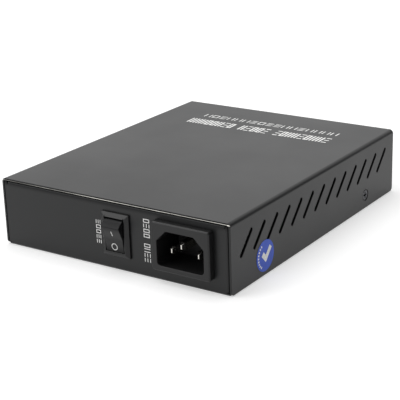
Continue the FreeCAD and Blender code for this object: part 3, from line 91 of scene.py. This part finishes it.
# white straight from the camera; in a mirror it falls from white to dim towards -x
white, dim, lighting = 1.03, 0.12, 0.42
outward = put(tree, "ShaderNodeSeparateXYZ",
              {0: put(tree, "ShaderNodeTexCoord").outputs["Generated"]})
mirrored = put(tree, "ShaderNodeMapRange", {"Value": outward.outputs["X"], "From Min": -0.42,
                                            "From Max": -0.24, "To Min": dim, "To Max": white})
straight = put(tree, "ShaderNodeLightPath").outputs["Is Camera Ray"]
brightest = put(tree, "ShaderNodeMath", {0: mirrored, 1: straight}, operation="MAXIMUM")
level = put(tree, "ShaderNodeMapRange", {"Value": shown(tree), "To Min": lighting,
                                         "To Max": brightest})
surround = put(tree, "ShaderNodeBackground", {"Color": (1, 1, 1, 1), "Strength": level})
put(tree, "ShaderNodeOutputWorld", {"Surface": surround})

floor_mesh = bpy.data.meshes.new("studio_floor")
half_floor = 3.0
floor_mesh.from_pydata([(u * half_floor, v * half_floor, 0)
                        for u, v in ((-1, -1), (1, -1), (1, 1), (-1, 1))], [], [(0, 1, 2, 3)])
floor = bpy.data.objects.new("studio_floor", floor_mesh)
floor.location.z = -0.02 * mm
scene.collection.objects.link(floor)

# white painted board: matt, with a little glow that lights nothing, so that it reads as clean
# white and still keeps the object's shadow; far off it glows more and runs into the surround
paint = bpy.data.materials.new("white_board")
paint.use_nodes = True
tree = paint.node_tree
tree.nodes.clear()
board_white, near_glow, far_glow = 0.72, 0.42, 0.35
matt = put(tree, "ShaderNodeBsdfDiffuse", {"Color": (board_white,) * 3 + (1,)})
away = put(tree, "ShaderNodeVectorMath", {0: put(tree, "ShaderNodeTexCoord").outputs["Object"]},
           operation="LENGTH").outputs["Value"]
far_off = put(tree, "ShaderNodeMapRange", {"Value": away, "From Min": 0.5, "From Max": 1.6,
                                           "To Min": 0.0, "To Max": far_glow})
straight = put(tree, "ShaderNodeLightPath").outputs["Is Camera Ray"]
far_off = put(tree, "ShaderNodeMath", {0: far_off, 1: straight}, operation="MULTIPLY")
strength = put(tree, "ShaderNodeMath", {0: shown(tree), 1: near_glow, 2: far_off},
               operation="MULTIPLY_ADD")
glow = put(tree, "ShaderNodeEmission", {"Color": (1, 1, 1, 1), "Strength": strength})
both = put(tree, "ShaderNodeAddShader", {0: matt, 1: glow})
put(tree, "ShaderNodeOutputMaterial", {"Surface": both})
floor_mesh.materials.append(paint)


def lamp(name, size, power, place):
    """A square soft lamp, turned towards the object."""
    light = bpy.data.lights.new(name, "AREA")
    light.shape = "SQUARE"
    light.size = size
    light.energy = power
    made = bpy.data.objects.new(name, light)
    made.location = place
    made.rotation_mode = "QUATERNION"
    made.rotation_quaternion = (-Vector(place)).to_track_quat("-Z", "Y")
    scene.collection.objects.link(made)
    return made


overhead = lamp("softbox_overhead", 1.3, 12.0, (0.2, -0.1, 1.3))
side_fill = lamp("softbox_left", 0.7, 4.4, (0.75, 0.85, 0.8))

lens = bpy.data.cameras.new("camera")
lens.lens = 107.73
lens.sensor_width = 36.0
lens.clip_start = 0.02
lens.clip_end = 20
camera = bpy.data.objects.new("camera", lens)
# where it stands, in metres, and its turn about the object, its rise over the floor and its
# roll, in degrees
stand = (-0.3147, 0.4673, 0.2087)
turn, rise, roll = (math.radians(angle) for angle in (214.369, 19.557, -1.875))
back = Vector((math.sin(turn) * math.cos(rise), -math.cos(turn) * math.cos(rise), math.sin(rise)))
level_right = Vector((math.cos(turn), math.sin(turn), 0))
level_up = back.cross(level_right)
right = level_right * math.cos(roll) + level_up * math.sin(roll)
up = level_up * math.cos(roll) - level_right * math.sin(roll)
camera.matrix_world = (Matrix.Translation(stand)
                       @ Matrix((right, up, back)).transposed().to_4x4())
scene.collection.objects.link(camera)
scene.camera = camera
scene.view_settings.view_transform = "Standard"
scene.view_settings.look = "None"


# ---------------------------------------------------------------- case
# Folded sheet steel, 1 mm thick: a tray with front and rear walls, and a cover folded over it.
# Both are powder coated satin black after punching, so their cut edges are a little rounded.
def linear(code):
    """An sRGB hex colour as the linear RGBA that Blender wants."""
    parts = [int(code[i:i + 2], 16) / 255 for i in (1, 3, 5)]
    return tuple(c / 12.92 if c <= 0.04045 else ((c + 0.055) / 1.055) ** 2.4
                 for c in parts) + (1.0,)


def surface(name, colour, roughness, metallic=0.0, **more):
    """A new material: its node tree and its Principled shader, joined to the output."""
    made = bpy.data.materials.new(name)
    made.use_nodes = True
    made.node_tree.nodes.clear()
    settings = {"Base Color": linear(colour), "Roughness": roughness, "Metallic": metallic,
                **more}
    shader = put(made.node_tree, "ShaderNodeBsdfPrincipled", settings)
    put(made.node_tree, "ShaderNodeOutputMaterial", {"Surface": shader})
    return made, made.node_tree, shader


def places(tree):
    """Object coordinates in millimetres."""
    where = put(tree, "ShaderNodeTexCoord").outputs["Object"]
    return put(tree, "ShaderNodeVectorMath", {0: where, "Scale": 1 / mm}, operation="SCALE")


def grain(tree, shader, size, depth, detail=2.0):
    """A fine uneven surface: waves of this size and depth, in millimetres."""
    noise = put(tree, "ShaderNodeTexNoise", {"Vector": places(tree), "Scale": 1 / size,
                                             "Detail": detail, "Roughness": 0.55})
    bump = put(tree, "ShaderNodeBump", {"Height": noise.outputs["Fac"], "Strength": 1.0,
                                        "Distance": depth * mm})
    join(tree, shader, {"Normal": bump})


def patches(tree, size, low=0.0, high=1.0):
    """A level that drifts between two, over soft patches of this size in millimetres."""
    noise = put(tree, "ShaderNodeTexNoise", {"Vector": places(tree), "Scale": 1 / size,
                                             "Detail": 3.0, "Roughness": 0.5})
    return put(tree, "ShaderNodeMapRange", {"Value": noise.outputs["Fac"], "From Min": 0.3,
                                            "From Max": 0.7, "To Min": low, "To Max": high})


def tint(tree, shader, share, low, high):
    """Colours a surface between two hex colours, by a share from 0 to 1."""
    mixed = put(tree, "ShaderNodeMix", {0: share, 6: linear(low), 7: linear(high)},
                data_type="RGBA")
    join(tree, shader, {"Base Color": mixed.outputs[2]})


# satin black polyester powder coat over steel: its orange peel is drawn with waves of 1.4 mm,
# as coarse as they need to be to show, and its gloss drifts a little over each panel
powder_coat, tree, shader = surface("satin_black_powder_coat", "#101112", 0.37, IOR=1.42)
grain(tree, shader, 1.4, 0.006, 3.0)
join(tree, shader, {"Roughness": patches(tree, 45.0, 0.34, 0.4)})
# a narrow, patchy line of pale bare-steel colour along the lower edge of the cover's sheared
# ends:
# a painted highlight, that fades out towards +x
line_below_top, half_line, line_fade, end_band, patch = 0.93, 0.17, 0.08, 0.3, 12.5
cover_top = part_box("top_cover")[1] / mm
spot = put(tree, "ShaderNodeSeparateXYZ", {0: places(tree)}).outputs
depth = put(tree, "ShaderNodeMath", {0: spot["Y"]}, operation="ABSOLUTE")
on_end = put(tree, "ShaderNodeMath", {0: depth, 1: cover_top.y - end_band},
             operation="GREATER_THAN")
off_line = put(tree, "ShaderNodeMath", {0: spot["Z"], 1: cover_top.z - line_below_top},
               operation="SUBTRACT")
off_line = put(tree, "ShaderNodeMath", {0: off_line}, operation="ABSOLUTE")
metallic_share = put(tree, "ShaderNodeMapRange", {"Value": off_line, "From Min": half_line,
                                        "From Max": half_line + line_fade, "To Min": 1.0,
                                        "To Max": 0.0})
noise = put(tree, "ShaderNodeTexNoise", {"Vector": places(tree), "Scale": 1 / patch,
                                         "Detail": 3.0})
patchy = put(tree, "ShaderNodeMapRange", {"Value": noise.outputs["Fac"], "From Min": 0.35,
                                          "From Max": 0.55, "To Min": 0.7})
fading = put(tree, "ShaderNodeMapRange", {"Value": spot["X"], "From Min": 0.15 * cover_top.x,
                                          "From Max": 0.75 * cover_top.x, "To Min": 1.0,
                                          "To Max": 0.3})
for level in (on_end, patchy, fading):
    metallic_share = put(tree, "ShaderNodeMath", {0: metallic_share, 1: level}, operation="MULTIPLY")
# painted shade: the coat's specular level is lowered on those ends, and on the tray's folds right
# under them, so that
# they read dark: from just below the lid's face, fully at 2.3 mm down and no longer at 4 mm,
# between the cover's two sides
skin, shade_full, shade_end, fold_reach, side_wall = 0.1, 2.3, 4.0, 2.5, 1.2
shaded = put(tree, "ShaderNodeMapRange", {"Value": spot["Z"], "From Min": cover_top.z - shade_end,
                                        "From Max": cover_top.z - shade_full})
aside = put(tree, "ShaderNodeMath", {0: spot["X"]}, operation="ABSOLUTE")
for value, test, limit in ((depth, "GREATER_THAN", cover_top.y - fold_reach),
                           (spot["Z"], "LESS_THAN", cover_top.z - skin),
                           (aside, "LESS_THAN", cover_top.x - side_wall)):
    within = put(tree, "ShaderNodeMath", {0: value, 1: limit}, operation=test)
    shaded = put(tree, "ShaderNodeMath", {0: shaded, 1: within}, operation="MULTIPLY")
# painted shade: the specular level falls from 0.5 to 0.24 where shaded
specular_shade = put(tree, "ShaderNodeMapRange", {"Value": shaded, "To Min": 0.5, "To Max": 0.24})
join(tree, shader, {"Metallic": metallic_share, "Specular IOR Level": specular_shade})
# the painted highlight: that line is tinted pale bare-steel colour
tint(tree, shader, metallic_share, "#101112", "#efede6")


def copy_of(node, name, material, bevel=0.0, segments=2, body="case"):
    """A copy of a CAD node with its points merged, its edges rounded and smooth shading."""
    crease, flat = math.radians(32), math.radians(0.8)
    mesh = frame["nodes"][node].data.copy()
    mesh.name = name
    mesh.materials.clear()
    mesh.materials.append(material)
    points = bmesh.new()
    points.from_mesh(mesh)
    bmesh.ops.remove_doubles(points, verts=points.verts, dist=1e-6)
    bmesh.ops.dissolve_limit(points, angle_limit=flat, verts=points.verts, edges=points.edges)
    points.to_mesh(mesh)
    points.free()
    mesh.shade_smooth()
    mesh.set_sharp_from_angle(angle=crease)
    made = bpy.data.objects.new(name, mesh)
    scene.collection.objects.link(made)
    if bevel:
        soft = made.modifiers.new("rounded_edges", "BEVEL")
        soft.width = bevel * mm
        soft.segments = segments
        soft.limit_method = "ANGLE"
        soft.angle_limit = crease
        soft.use_clamp_overlap = False
        soft.loop_slide = False
    even = made.modifiers.new("flat_faces_stay_flat", "WEIGHTED_NORMAL")
    even.keep_sharp = True
    even.weight = 100
    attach(made, body)
    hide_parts(node)
    return made


tray = copy_of("base_tray", "tray", powder_coat, 0.16)
# one upright fold of the rear wall is tight: it is nearly square, and fills the clearance
# beside it up to the cover
bend, clearance = 1.3 * mm, 0.36 * mm
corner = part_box("base_tray")[1].xy - Vector((bend, bend))
for point in tray.data.vertices:
    arm = point.co.xy - corner
    if min(arm) > -0.01 * mm and arm.length > 0.9 * bend and point.co.z > 1.2 * bend:
        square = arm * bend / max(arm)
        point.co.x = corner.x + square.x * (1 + clearance / bend)
        point.co.y = corner.y + square.y
copy_of("top_cover", "cover", powder_coat, 0.12)


# ---------------------------------------------------------------- cover screws
# Countersunk cross-head M3 screws of steel, zinc plated and blackened, two a side. They hold
# the cover to the tray, with their heads in its countersinks.
# blackened zinc on steel: dark metal with a dull sheen, with painted shade near black down in the
# cross recess
black_zinc, tree, shader = surface("blackened_zinc_plate", "#4c4d50", 0.3, 1.0)
shallow, deep = 0.35, 0.7
low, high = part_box("cover_screws")
face = high.x / mm
spot = put(tree, "ShaderNodeSeparateXYZ", {0: places(tree)}).outputs
aside = put(tree, "ShaderNodeMath", {0: spot["X"]}, operation="ABSOLUTE")
# painted shade: near black from 0.7 mm inside the head's outer face, full colour within 0.35 mm
# of it
out_of_painted_shade = put(tree, "ShaderNodeMapRange", {"Value": aside, "From Min": face - deep,
                                           "From Max": face - shallow})
join(tree, shader, {"Roughness": patches(tree, 1.5, 0.22, 0.42)})
tint(tree, shader, out_of_painted_shade, "#060606", "#4c4d50")
screws = copy_of("cover_screws", "black_cover_screws", black_zinc, 0.14)
# their heads sit a little below the rim of the countersink, with a dark gap round them: the
# rim comes in by 16 percent, and the cross recess opens by 12
head, sunk, rim_in, recess_out = 3.0 * mm, 0.2 * mm, 0.16, 0.12
for point in screws.data.vertices:
    if abs(point.co.x) > high.x - 0.1 * mm:
        y, z = math.copysign(high.y - head, point.co.y), (low.z + high.z) / 2
        on_rim = math.hypot(point.co.y - y, point.co.z - z) > 0.8 * head
        inward = rim_in if on_rim else -recess_out
        point.co.x -= math.copysign(sunk, point.co.x)
        point.co.y += (y - point.co.y) * inward
        point.co.z += (z - point.co.z) * inward


# ---------------------------------------------------------------- mains inlet
# An IEC 60320 C14 appliance inlet, moulded in black thermoplastic and snapped into the
# rear wall, with three nickel-plated brass blades set in the floor of its recess.
# glass-filled black nylon: the fine texture of a spark-eroded mould, drawn at 0.5 mm to show
black_nylon, tree, shader = surface("black_nylon", "#0e0e0f", 0.47, IOR=1.45)
grain(tree, shader, 0.5, 0.006)
copy_of("inlet_housing", "inlet_moulding", black_nylon, 0.25, 3)

# bright nickel plating on brass: a slightly warm mirror, in places a little duller
nickel, tree, shader = surface("nickel_plate", "#d0cdc7", 0.2, 1.0)
join(tree, shader, {"Roughness": patches(tree, 2.0, 0.07, 0.14)})
# the nose is a rounded wedge, so its flat end is narrower, lower and a little further out than
# a plain taper's
narrower, lower, longer = 0.5, 0.25, 0.4 * mm
for pole in ("line", "neutral", "earth"):
    blade = copy_of("inlet_%s_pin" % pole, "blade_" + pole, nickel, 0.1)
    low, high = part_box("inlet_%s_pin" % pole)
    for point in blade.data.vertices:
        if point.co.y > high.y - 0.1 * mm:
            point.co.x += ((low.x + high.x) / 2 - point.co.x) * narrower
            point.co.z += ((low.z + high.z) / 2 - point.co.z) * lower
            point.co.y += longer


# ---------------------------------------------------------------- rocker switch
# A snap-in rocker switch: a moulded frame round a rocker with two pressing faces that meet in
# a soft valley. White I and O marks are printed on the rocker, and move with it.
# black nylon 66 from a polished mould, a little glossier than the inlet, with a faint ripple
switch_nylon, tree, shader = surface("black_nylon_66", "#0e0e0f", 0.4, IOR=1.42)
grain(tree, shader, 0.7, 0.003)
switch_frame = copy_of("switch_housing", "switch_frame", switch_nylon, 0.15)
# the frame's lips close in over the rocker's ends, as near as its swing lets them
lip, upper_lip, lower_lip, upper_lip_out = 8.67 * mm, 8.3 * mm, 7.85 * mm, 0.24 * mm
low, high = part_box("switch_housing")
middle = (low.z + high.z) / 2
for point in switch_frame.data.vertices:
    up_from_middle = point.co.z - middle
    if point.co.y > high.y - 0.2 * mm and abs(abs(up_from_middle) - lip) < 0.05 * mm:
        if up_from_middle > 0:
            point.co.z = middle + upper_lip
            point.co.y += upper_lip_out
        else:
            point.co.z = middle - lower_lip

# the same nylon, its specular level lowered towards the rocker's two round end walls, 8.4 mm from
# its pivot: painted shade under the frame's lips
pivot = Vector(next(joint["pos_m"] for joint in frame["joints"]
                    if joint["name"] == "rocker_hinge"))
cap_nylon, tree, shader = surface("black_nylon_66_shaded_ends", "#0e0e0f", 0.4, IOR=1.42)
grain(tree, shader, 0.7, 0.003)
arm = put(tree, "ShaderNodeVectorMath", {0: places(tree), 1: pivot / mm}, operation="SUBTRACT")
arm = put(tree, "ShaderNodeVectorMath", {0: arm, 1: (0, 1, 1)}, operation="MULTIPLY")
arm = put(tree, "ShaderNodeVectorMath", {0: arm}, operation="LENGTH").outputs["Value"]
specular_shade = put(tree, "ShaderNodeMapRange", {"Value": arm, "From Min": 6.0, "From Max": 8.4,
                                         "To Min": 0.5, "To Max": 0.22})
join(tree, shader, {"Specular IOR Level": specular_shade})
copy_of("switch_rocker", "rocker_cap", cap_nylon, 0.2, 3, body="rocker")

# white pad-printing ink, matt, a little thin in places
white_ink, tree, shader = surface("white_printing_ink", "#f0f0ee", 0.55)
tint(tree, shader, patches(tree, 0.9), "#e2e2e0", "#fcfcfb")


def flat_piece(name, outlines, place, material, body="case"):
    """Thin print: flat faces drawn in millimetres, set down by a matrix, riding on a body."""
    mesh = bpy.data.meshes.new(name)
    points = [point for outline in outlines for point in outline]
    faces, start = [], 0
    for outline in outlines:
        faces.append(tuple(range(start, start + len(outline))))
        start += len(outline)
    mesh.from_pydata([(u * mm, v * mm, 0) for u, v in points], [], faces)
    mesh.transform(place)
    mesh.materials.append(material)
    made = bpy.data.objects.new(name, mesh)
    scene.collection.objects.link(made)
    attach(made, body)


def ring(centre, outer, inner, start=0, end=360, steps=40):
    """Four-cornered pieces of a flat ring, or of an arc of one."""
    turns = [math.radians(start + (end - start) * i / steps) for i in range(steps + 1)]
    return [[(centre[0] + r * math.cos(t), centre[1] + r * math.sin(t))
             for r, t in ((inner, a), (outer, a), (outer, b), (inner, b))]
            for a, b in zip(turns, turns[1:])]


# the rocker's own sizes: its faces slope by 9 degrees from the valley to the tips, and it
# rests turned by half its travel
valley_out, face_slope, rest_turn = 4.671, 9.0, 14.8
ink_lift = 0.025


def on_rocker(side):
    """From the valley: u runs along the axis, v up (+1) or down (-1) the pressing face."""
    tilt = Matrix.Rotation(math.radians(-rest_turn), 4, "X")
    slope = Matrix.Rotation(math.radians(90 - side * face_slope), 4, "X")
    out = Matrix.Translation(Vector((0, valley_out + ink_lift, 0)) * mm)
    return Matrix.Translation(pivot) @ tilt @ out @ slope


mark_i = [(-0.2, 1.7), (0.2, 1.7), (0.2, 4.3), (-0.2, 4.3)]
flat_piece("mark_I", [mark_i], on_rocker(1), white_ink, "rocker")
flat_piece("mark_O", ring((0, -4.0), 1.65, 1.3), on_rocker(-1), white_ink, "rocker")

# spring, plunger, contact strip and blades behind it: never seen, in their own metals
# silver-plated brass: pale and warm, its sheen uneven
contact_brass, tree, shader = surface("silver_plated_brass", "#cdbd96", 0.3, 1.0)
join(tree, shader, {"Roughness": patches(tree, 2.0, 0.22, 0.42)})
# drawn spring steel: plain grey with an even sheen
spring_wire, _, _ = surface("drawn_spring_steel", "#9b9c9e", 0.32, 1.0)


def paint_nodes(material, *nodes):
    """Gives CAD nodes that are shown as they are their material."""
    for node in nodes:
        frame["nodes"][node].data.materials.clear()
        frame["nodes"][node].data.materials.append(material)


paint_nodes(contact_brass, "switch_line_terminal", "switch_load_terminal", "switch_contact",
            "switch_plunger")
paint_nodes(spring_wire, "switch_spring")


# ---------------------------------------------------------------- printing on the case
# White silk-screen printing on the cover and the rear wall. Rows of plain boxes and bars, as
# long and as heavy as the print that they stand for, take the place of words.
def signs_tree():
    """Puts one of three simple signs on every point: a box, two uprights or three levels."""
    tree = bpy.data.node_groups.new("printed_signs", "GeometryNodeTree")
    sockets = tree.interface
    sockets.new_socket("Points", in_out="INPUT", socket_type="NodeSocketGeometry")
    for name in ("Width", "Height", "Stroke"):
        sockets.new_socket(name, in_out="INPUT", socket_type="NodeSocketFloat")
    sockets.new_socket("Seed", in_out="INPUT", socket_type="NodeSocketInt")
    sockets.new_socket("Ink", in_out="INPUT", socket_type="NodeSocketMaterial")
    sockets.new_socket("Print", in_out="OUTPUT", socket_type="NodeSocketGeometry")
    given = put(tree, "NodeGroupInput").outputs
    wide, high, stroke = given["Width"], given["Height"], given["Stroke"]

    def less(a, b, times=1.0):
        """a - b * times"""
        return put(tree, "ShaderNodeMath", {0: b, 1: -times, 2: a}, operation="MULTIPLY_ADD")

    outer = put(tree, "GeometryNodeCurvePrimitiveQuadrilateral", {"Width": wide, "Height": high})
    inner = put(tree, "GeometryNodeCurvePrimitiveQuadrilateral",
                {"Width": less(wide, stroke, 2.0), "Height": less(high, stroke, 2.0)})
    edges = put(tree, "GeometryNodeJoinGeometry")
    for edge in (outer, inner):
        join(tree, edges, {0: edge})
    box = put(tree, "GeometryNodeFillCurve", {"Curve": edges})

    def bars(along, count):
        """Bars spread evenly over the sign, upright (X) or level (Y)."""
        across, up, room = (stroke, high, wide) if along == "X" else (wide, stroke, high)
        bar = put(tree, "GeometryNodeMeshGrid", {"Size X": across, "Size Y": up,
                                                 "Vertices X": 2, "Vertices Y": 2})
        span = less(room, stroke)
        joined = put(tree, "GeometryNodeJoinGeometry")
        for i in range(count):
            shift = put(tree, "ShaderNodeMath", {0: span, 1: i / (count - 1) - 0.5},
                        operation="MULTIPLY")
            place = put(tree, "ShaderNodeCombineXYZ", {along: shift})
            moved = put(tree, "GeometryNodeTransform", {"Geometry": bar, "Translation": place})
            join(tree, joined, {0: moved})
        return joined

    signs = put(tree, "GeometryNodeJoinGeometry")
    for sign in (box, bars("X", 2), bars("Y", 3)):
        join(tree, signs, {0: put(tree, "GeometryNodeGeometryToInstance", {0: sign})})
    pick = put(tree, "FunctionNodeRandomValue", {4: 0, 5: 2, "Seed": given["Seed"]},
               data_type="INT")
    spread = put(tree, "GeometryNodeInstanceOnPoints",
                 {"Points": given["Points"], "Instance": signs, "Pick Instance": True,
                  "Instance Index": pick.outputs[2]})
    real = put(tree, "GeometryNodeRealizeInstances", {"Geometry": spread})
    inked = put(tree, "GeometryNodeSetMaterial", {"Geometry": real, "Material": given["Ink"]})
    put(tree, "NodeGroupOutput", {"Print": inked})
    return tree


signs = signs_tree()


def print_row(name, groups, length, width, height, stroke, place, seed):
    """A row of signs in groups with a sign's width between them, centred on its place."""
    count = sum(groups) + len(groups) - 1
    pitch = length / count
    spots, slot = [], 0
    for group in groups:
        spots += [slot + i for i in range(group)]
        slot += group + 1
    mesh = bpy.data.meshes.new(name)
    mesh.from_pydata([((i + 0.5 - count / 2) * pitch * mm, 0, 0) for i in spots], [], [])
    made = bpy.data.objects.new(name, mesh)
    scene.collection.objects.link(made)
    growth = made.modifiers.new("signs", "NODES")
    growth.node_group = signs
    values = {"Width": width * mm, "Height": height * mm, "Stroke": stroke * mm, "Seed": seed,
              "Ink": white_ink}
    for item in signs.interface.items_tree:
        if item.in_out == "INPUT" and item.name in values:
            growth[item.identifier] = values[item.name]
    bpy.context.view_layer.update()
    ready = bpy.data.meshes.new_from_object(
        made.evaluated_get(bpy.context.evaluated_depsgraph_get()))
    made.modifiers.remove(growth)
    made.data = ready
    ready.transform(place)
    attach(made, "case")


def facing(origin, along, across):
    """The matrix of a flat print: its row runs along, its signs stand across."""
    along, across = Vector(along), Vector(across)
    turn = Matrix((along, across, along.cross(across))).transposed().to_4x4()
    return Matrix.Translation(Vector(origin) * mm) @ turn


print_lift = 0.02
lid_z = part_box("top_cover")[1].z / mm + print_lift
wall_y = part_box("base_tray")[1].y / mm + print_lift
# signs in each group, length of the row, a sign's width, height and stroke, place, seed
print_row("title_row", (8, 5, 9), 85.1, 2.75, 7.7, 0.95,
          facing((-1.5, -45.4, lid_z), (-1, 0, 0), (0, -1, 0)), 4)
print_row("kind_row", (17,), 82.0, 3.7, 4.4, 0.62,
          facing((-2.4, -56.8, lid_z), (-1, 0, 0), (0, -1, 0)), 9)
print_row("rating_row", (4, 4), 20.8, 1.75, 3.3, 0.41,
          facing((-19.9, wall_y, 17.4), (0, 0, -1), (1, 0, 0)), 2)
print_row("switch_row", (5,), 11.8, 1.75, 2.6, 0.38,
          facing((7.0, wall_y, 16.8), (0, 0, -1), (1, 0, 0)), 6)


# ---------------------------------------------------------------- round seal
# A round paper seal stuck over the rear screw on one side: blue print, with a plain white tick
# and a rim of short dashes.
# coated paper printed blue: smooth, its ink a little uneven
seal_paper, tree, shader = surface("blue_printed_paper", "#1c4cc4", 0.45)
tint(tree, shader, patches(tree, 3.0), "#1847bc", "#2253cc")
copy_of("round_seal", "blue_seal", seal_paper)
low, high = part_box("round_seal")
middle = (low + high) / 2 / mm
seal_lift = 0.015
seal_place = facing((low.x / mm - seal_lift, middle.y, middle.z), (0, -1, 0), (0, 0, 1))
tick = [(-3.1, 0.3), (-1.4, 2.1), (0.3, 0.2), (3.7, 4.0), (5.4, 2.4), (0.3, -3.3)]
dashes = [piece for start in range(118, 244, 14)
          for piece in ring((0, 0), 6.3, 5.3, start, start + 8, 2)]
flat_piece("seal_marks", [tick] + dashes, seal_place, white_ink)


# ---------------------------------------------------------------- front ports
# Network jack: a tinned steel shield round a black moulding with eight gold-plated wires.
# Beside it the fibre module, a black plastic housing with two white ceramic sleeves.
# tinned sheet steel: pale grey, its gloss patchy
tinned_steel, tree, shader = surface("tinned_steel", "#b9bbbd", 0.3, 1.0)
join(tree, shader, {"Roughness": patches(tree, 4.0, 0.22, 0.42)})
copy_of("jack_shield", "jack_can", tinned_steel, 0.1)
# glass-filled black polyester: matt, with a fine texture
black_polyester, tree, shader = surface("black_polyester", "#1a1a1b", 0.5)
grain(tree, shader, 0.6, 0.004)
copy_of("jack_insert", "jack_moulding", black_polyester, 0.1)
copy_of("fibre_housing", "fibre_module", black_polyester, 0.15)
# gold flash over nickel: warm yellow and smooth
gold_plate, _, _ = surface("gold_plate", "#e0b458", 0.25, 1.0)
paint_nodes(gold_plate, "jack_contacts", "fibre_module_pins")
# zirconia, white and dense, polished
zirconia, _, _ = surface("white_zirconia", "#ece9e0", 0.22)
copy_of("transmit_barrel", "transmit_sleeve", zirconia, 0.1)
copy_of("receive_barrel", "receive_sleeve", zirconia, 0.1)


# ---------------------------------------------------------------- status lamps
# Four small round lamps of tinted resin. A moulded black block behind the front wall holds
# them in line with their holes.
# green-tinted epoxy with a little diffusing powder in it
lamp_resin, _, _ = surface("green_epoxy", "#6fae58", 0.22,
                           **{"Transmission Weight": 0.35, "IOR": 1.52})
paint_nodes(lamp_resin, "status_leds")
paint_nodes(black_polyester, "led_holder")


# ---------------------------------------------------------------- boards
# Two glass-epoxy boards, screwed to hexagonal steel posts on the tray's floor. A film
# insulates the supply board from the floor.
# green solder resist, glossy, lighter over copper, in patches about 3.6 mm apart
board_resist, tree, shader = surface("green_solder_resist", "#1c5a34", 0.32)
cells = put(tree, "ShaderNodeTexVoronoi",
            {"Vector": places(tree), "Scale": 0.28, "Randomness": 0.9}, distance="MANHATTAN")
copper = put(tree, "ShaderNodeMapRange", {"Value": cells.outputs["Distance"], "From Min": 0.5,
                                          "From Max": 0.56})
tint(tree, shader, copper, "#1a5230", "#2b7546")
paint_nodes(board_resist, "converter_board", "supply_board")
# bright zinc plating on steel: cool grey, its gloss patchy
zinc, tree, shader = surface("bright_zinc_plate", "#b4b8bc", 0.34, 1.0)
join(tree, shader, {"Roughness": patches(tree, 2.0, 0.26, 0.46)})
paint_nodes(zinc, "board_screws", "board_standoffs", "earth_nut", "earth_stud", "crystal")
# stiff polyester film: milky and smooth
film, _, _ = surface("polyester_film", "#cfd0c8", 0.35)
paint_nodes(film, "insulating_sheet")


# ---------------------------------------------------------------- parts on the boards
# Moulded chips, sleeved capacitors, wound parts, a fuse and plug headers, each in the finish
# of the real kind.
# black epoxy moulding compound: dull, with a fine grain
black_epoxy, tree, shader = surface("black_epoxy_compound", "#1d1d1f", 0.6)
grain(tree, shader, 0.4, 0.004)
paint_nodes(black_epoxy, "converter_chip", "line_transformer", "voltage_regulators",
            "bridge_rectifier", "supply_chip", "output_diode", "transformer_bobbin")
# dark blue shrink sleeve, with the bare aluminium can showing on top
can_sleeve, tree, shader = surface("sleeved_aluminium_can", "#1b2545", 0.35)
outward = put(tree, "ShaderNodeSeparateXYZ",
              {0: put(tree, "ShaderNodeTexCoord").outputs["Normal"]})
metallic_share = put(tree, "ShaderNodeMath", {0: outward.outputs["Z"], 1: 0.9}, operation="GREATER_THAN")
join(tree, shader, {"Metallic": metallic_share})
tint(tree, shader, metallic_share, "#1b2545", "#b9bbbe")
paint_nodes(can_sleeve, "board_capacitors", "bulk_capacitor", "output_capacitors")
# sintered ferrite, dull dark grey
ferrite, tree, shader = surface("sintered_ferrite", "#2f2f31", 0.7)
grain(tree, shader, 0.5, 0.01)
paint_nodes(ferrite, "transformer_core", "choke_core")
# yellow polyester winding tape: smooth, with a soft gloss
tape, _, _ = surface("polyester_tape", "#d8b425", 0.4)
paint_nodes(tape, "transformer_winding")
# enamelled copper wire of about 0.6 mm, drawn as fine parallel ridges
enamel, tree, shader = surface("enamelled_copper", "#a8552b", 0.3, 0.9)
turns = put(tree, "ShaderNodeTexWave", {"Vector": places(tree), "Scale": 0.55})
ridges = put(tree, "ShaderNodeBump", {"Height": turns.outputs["Fac"], "Distance": 0.2 * mm})
join(tree, shader, {"Normal": ridges})
paint_nodes(enamel, "choke_winding")
# yellow polypropylene capacitor box, moulded smooth
film_box, _, _ = surface("yellow_polypropylene", "#d9a92c", 0.42)
paint_nodes(film_box, "noise_capacitor")
# glass tube between nickel-plated caps, told apart by the distance from the tube's middle
fuse_tube, tree, shader = surface("fuse_glass", "#dfe6e4", 0.08)
half_glass = 4.8
low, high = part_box("fuse")
along = put(tree, "ShaderNodeSeparateXYZ", {0: places(tree)}).outputs["X"]
along = put(tree, "ShaderNodeMath", {0: along, 1: (low.x + high.x) / 2 / mm},
            operation="SUBTRACT")
along = put(tree, "ShaderNodeMath", {0: along}, operation="ABSOLUTE")
cap = put(tree, "ShaderNodeMath", {0: along, 1: half_glass}, operation="GREATER_THAN")
clear = put(tree, "ShaderNodeMapRange", {"Value": cap, "To Min": 0.85, "To Max": 0.0})
join(tree, shader, {"Metallic": cap, "Transmission Weight": clear})
paint_nodes(fuse_tube, "fuse")
paint_nodes(nickel, "fuse_clips")
# natural nylon plug headers: milky white, moulded smooth
white_nylon, _, _ = surface("natural_nylon", "#dcdacd", 0.42)
paint_nodes(white_nylon, "mains_terminal", "power_socket", "output_header")


# ---------------------------------------------------------------- wires
# Stranded wires in extruded PVC, which has a soft even gloss: brown and blue for the mains,
# green and yellow for the earth, and a red pair between the two boards.
for name, colour, nodes in (("brown_pvc", "#5a3320", ("line_wire", "switched_wire")),
                            ("blue_pvc", "#27509c", ("neutral_wire",)),
                            ("red_pvc", "#a8241f", ("power_cable",))):
    insulation, _, _ = surface(name, colour, 0.42)
    paint_nodes(insulation, *nodes)
# green with yellow bands about 3.5 mm apart
striped, tree, shader = surface("green_yellow_pvc", "#2c8a3c", 0.42)
bands = put(tree, "ShaderNodeTexWave", {"Vector": places(tree), "Scale": 0.18},
            bands_direction="DIAGONAL")
yellow = put(tree, "ShaderNodeMath", {0: bands.outputs["Fac"], 1: 0.62},
             operation="GREATER_THAN")
tint(tree, shader, yellow, "#2c8a3c", "#d9c92e")
paint_nodes(striped, "earth_wire")
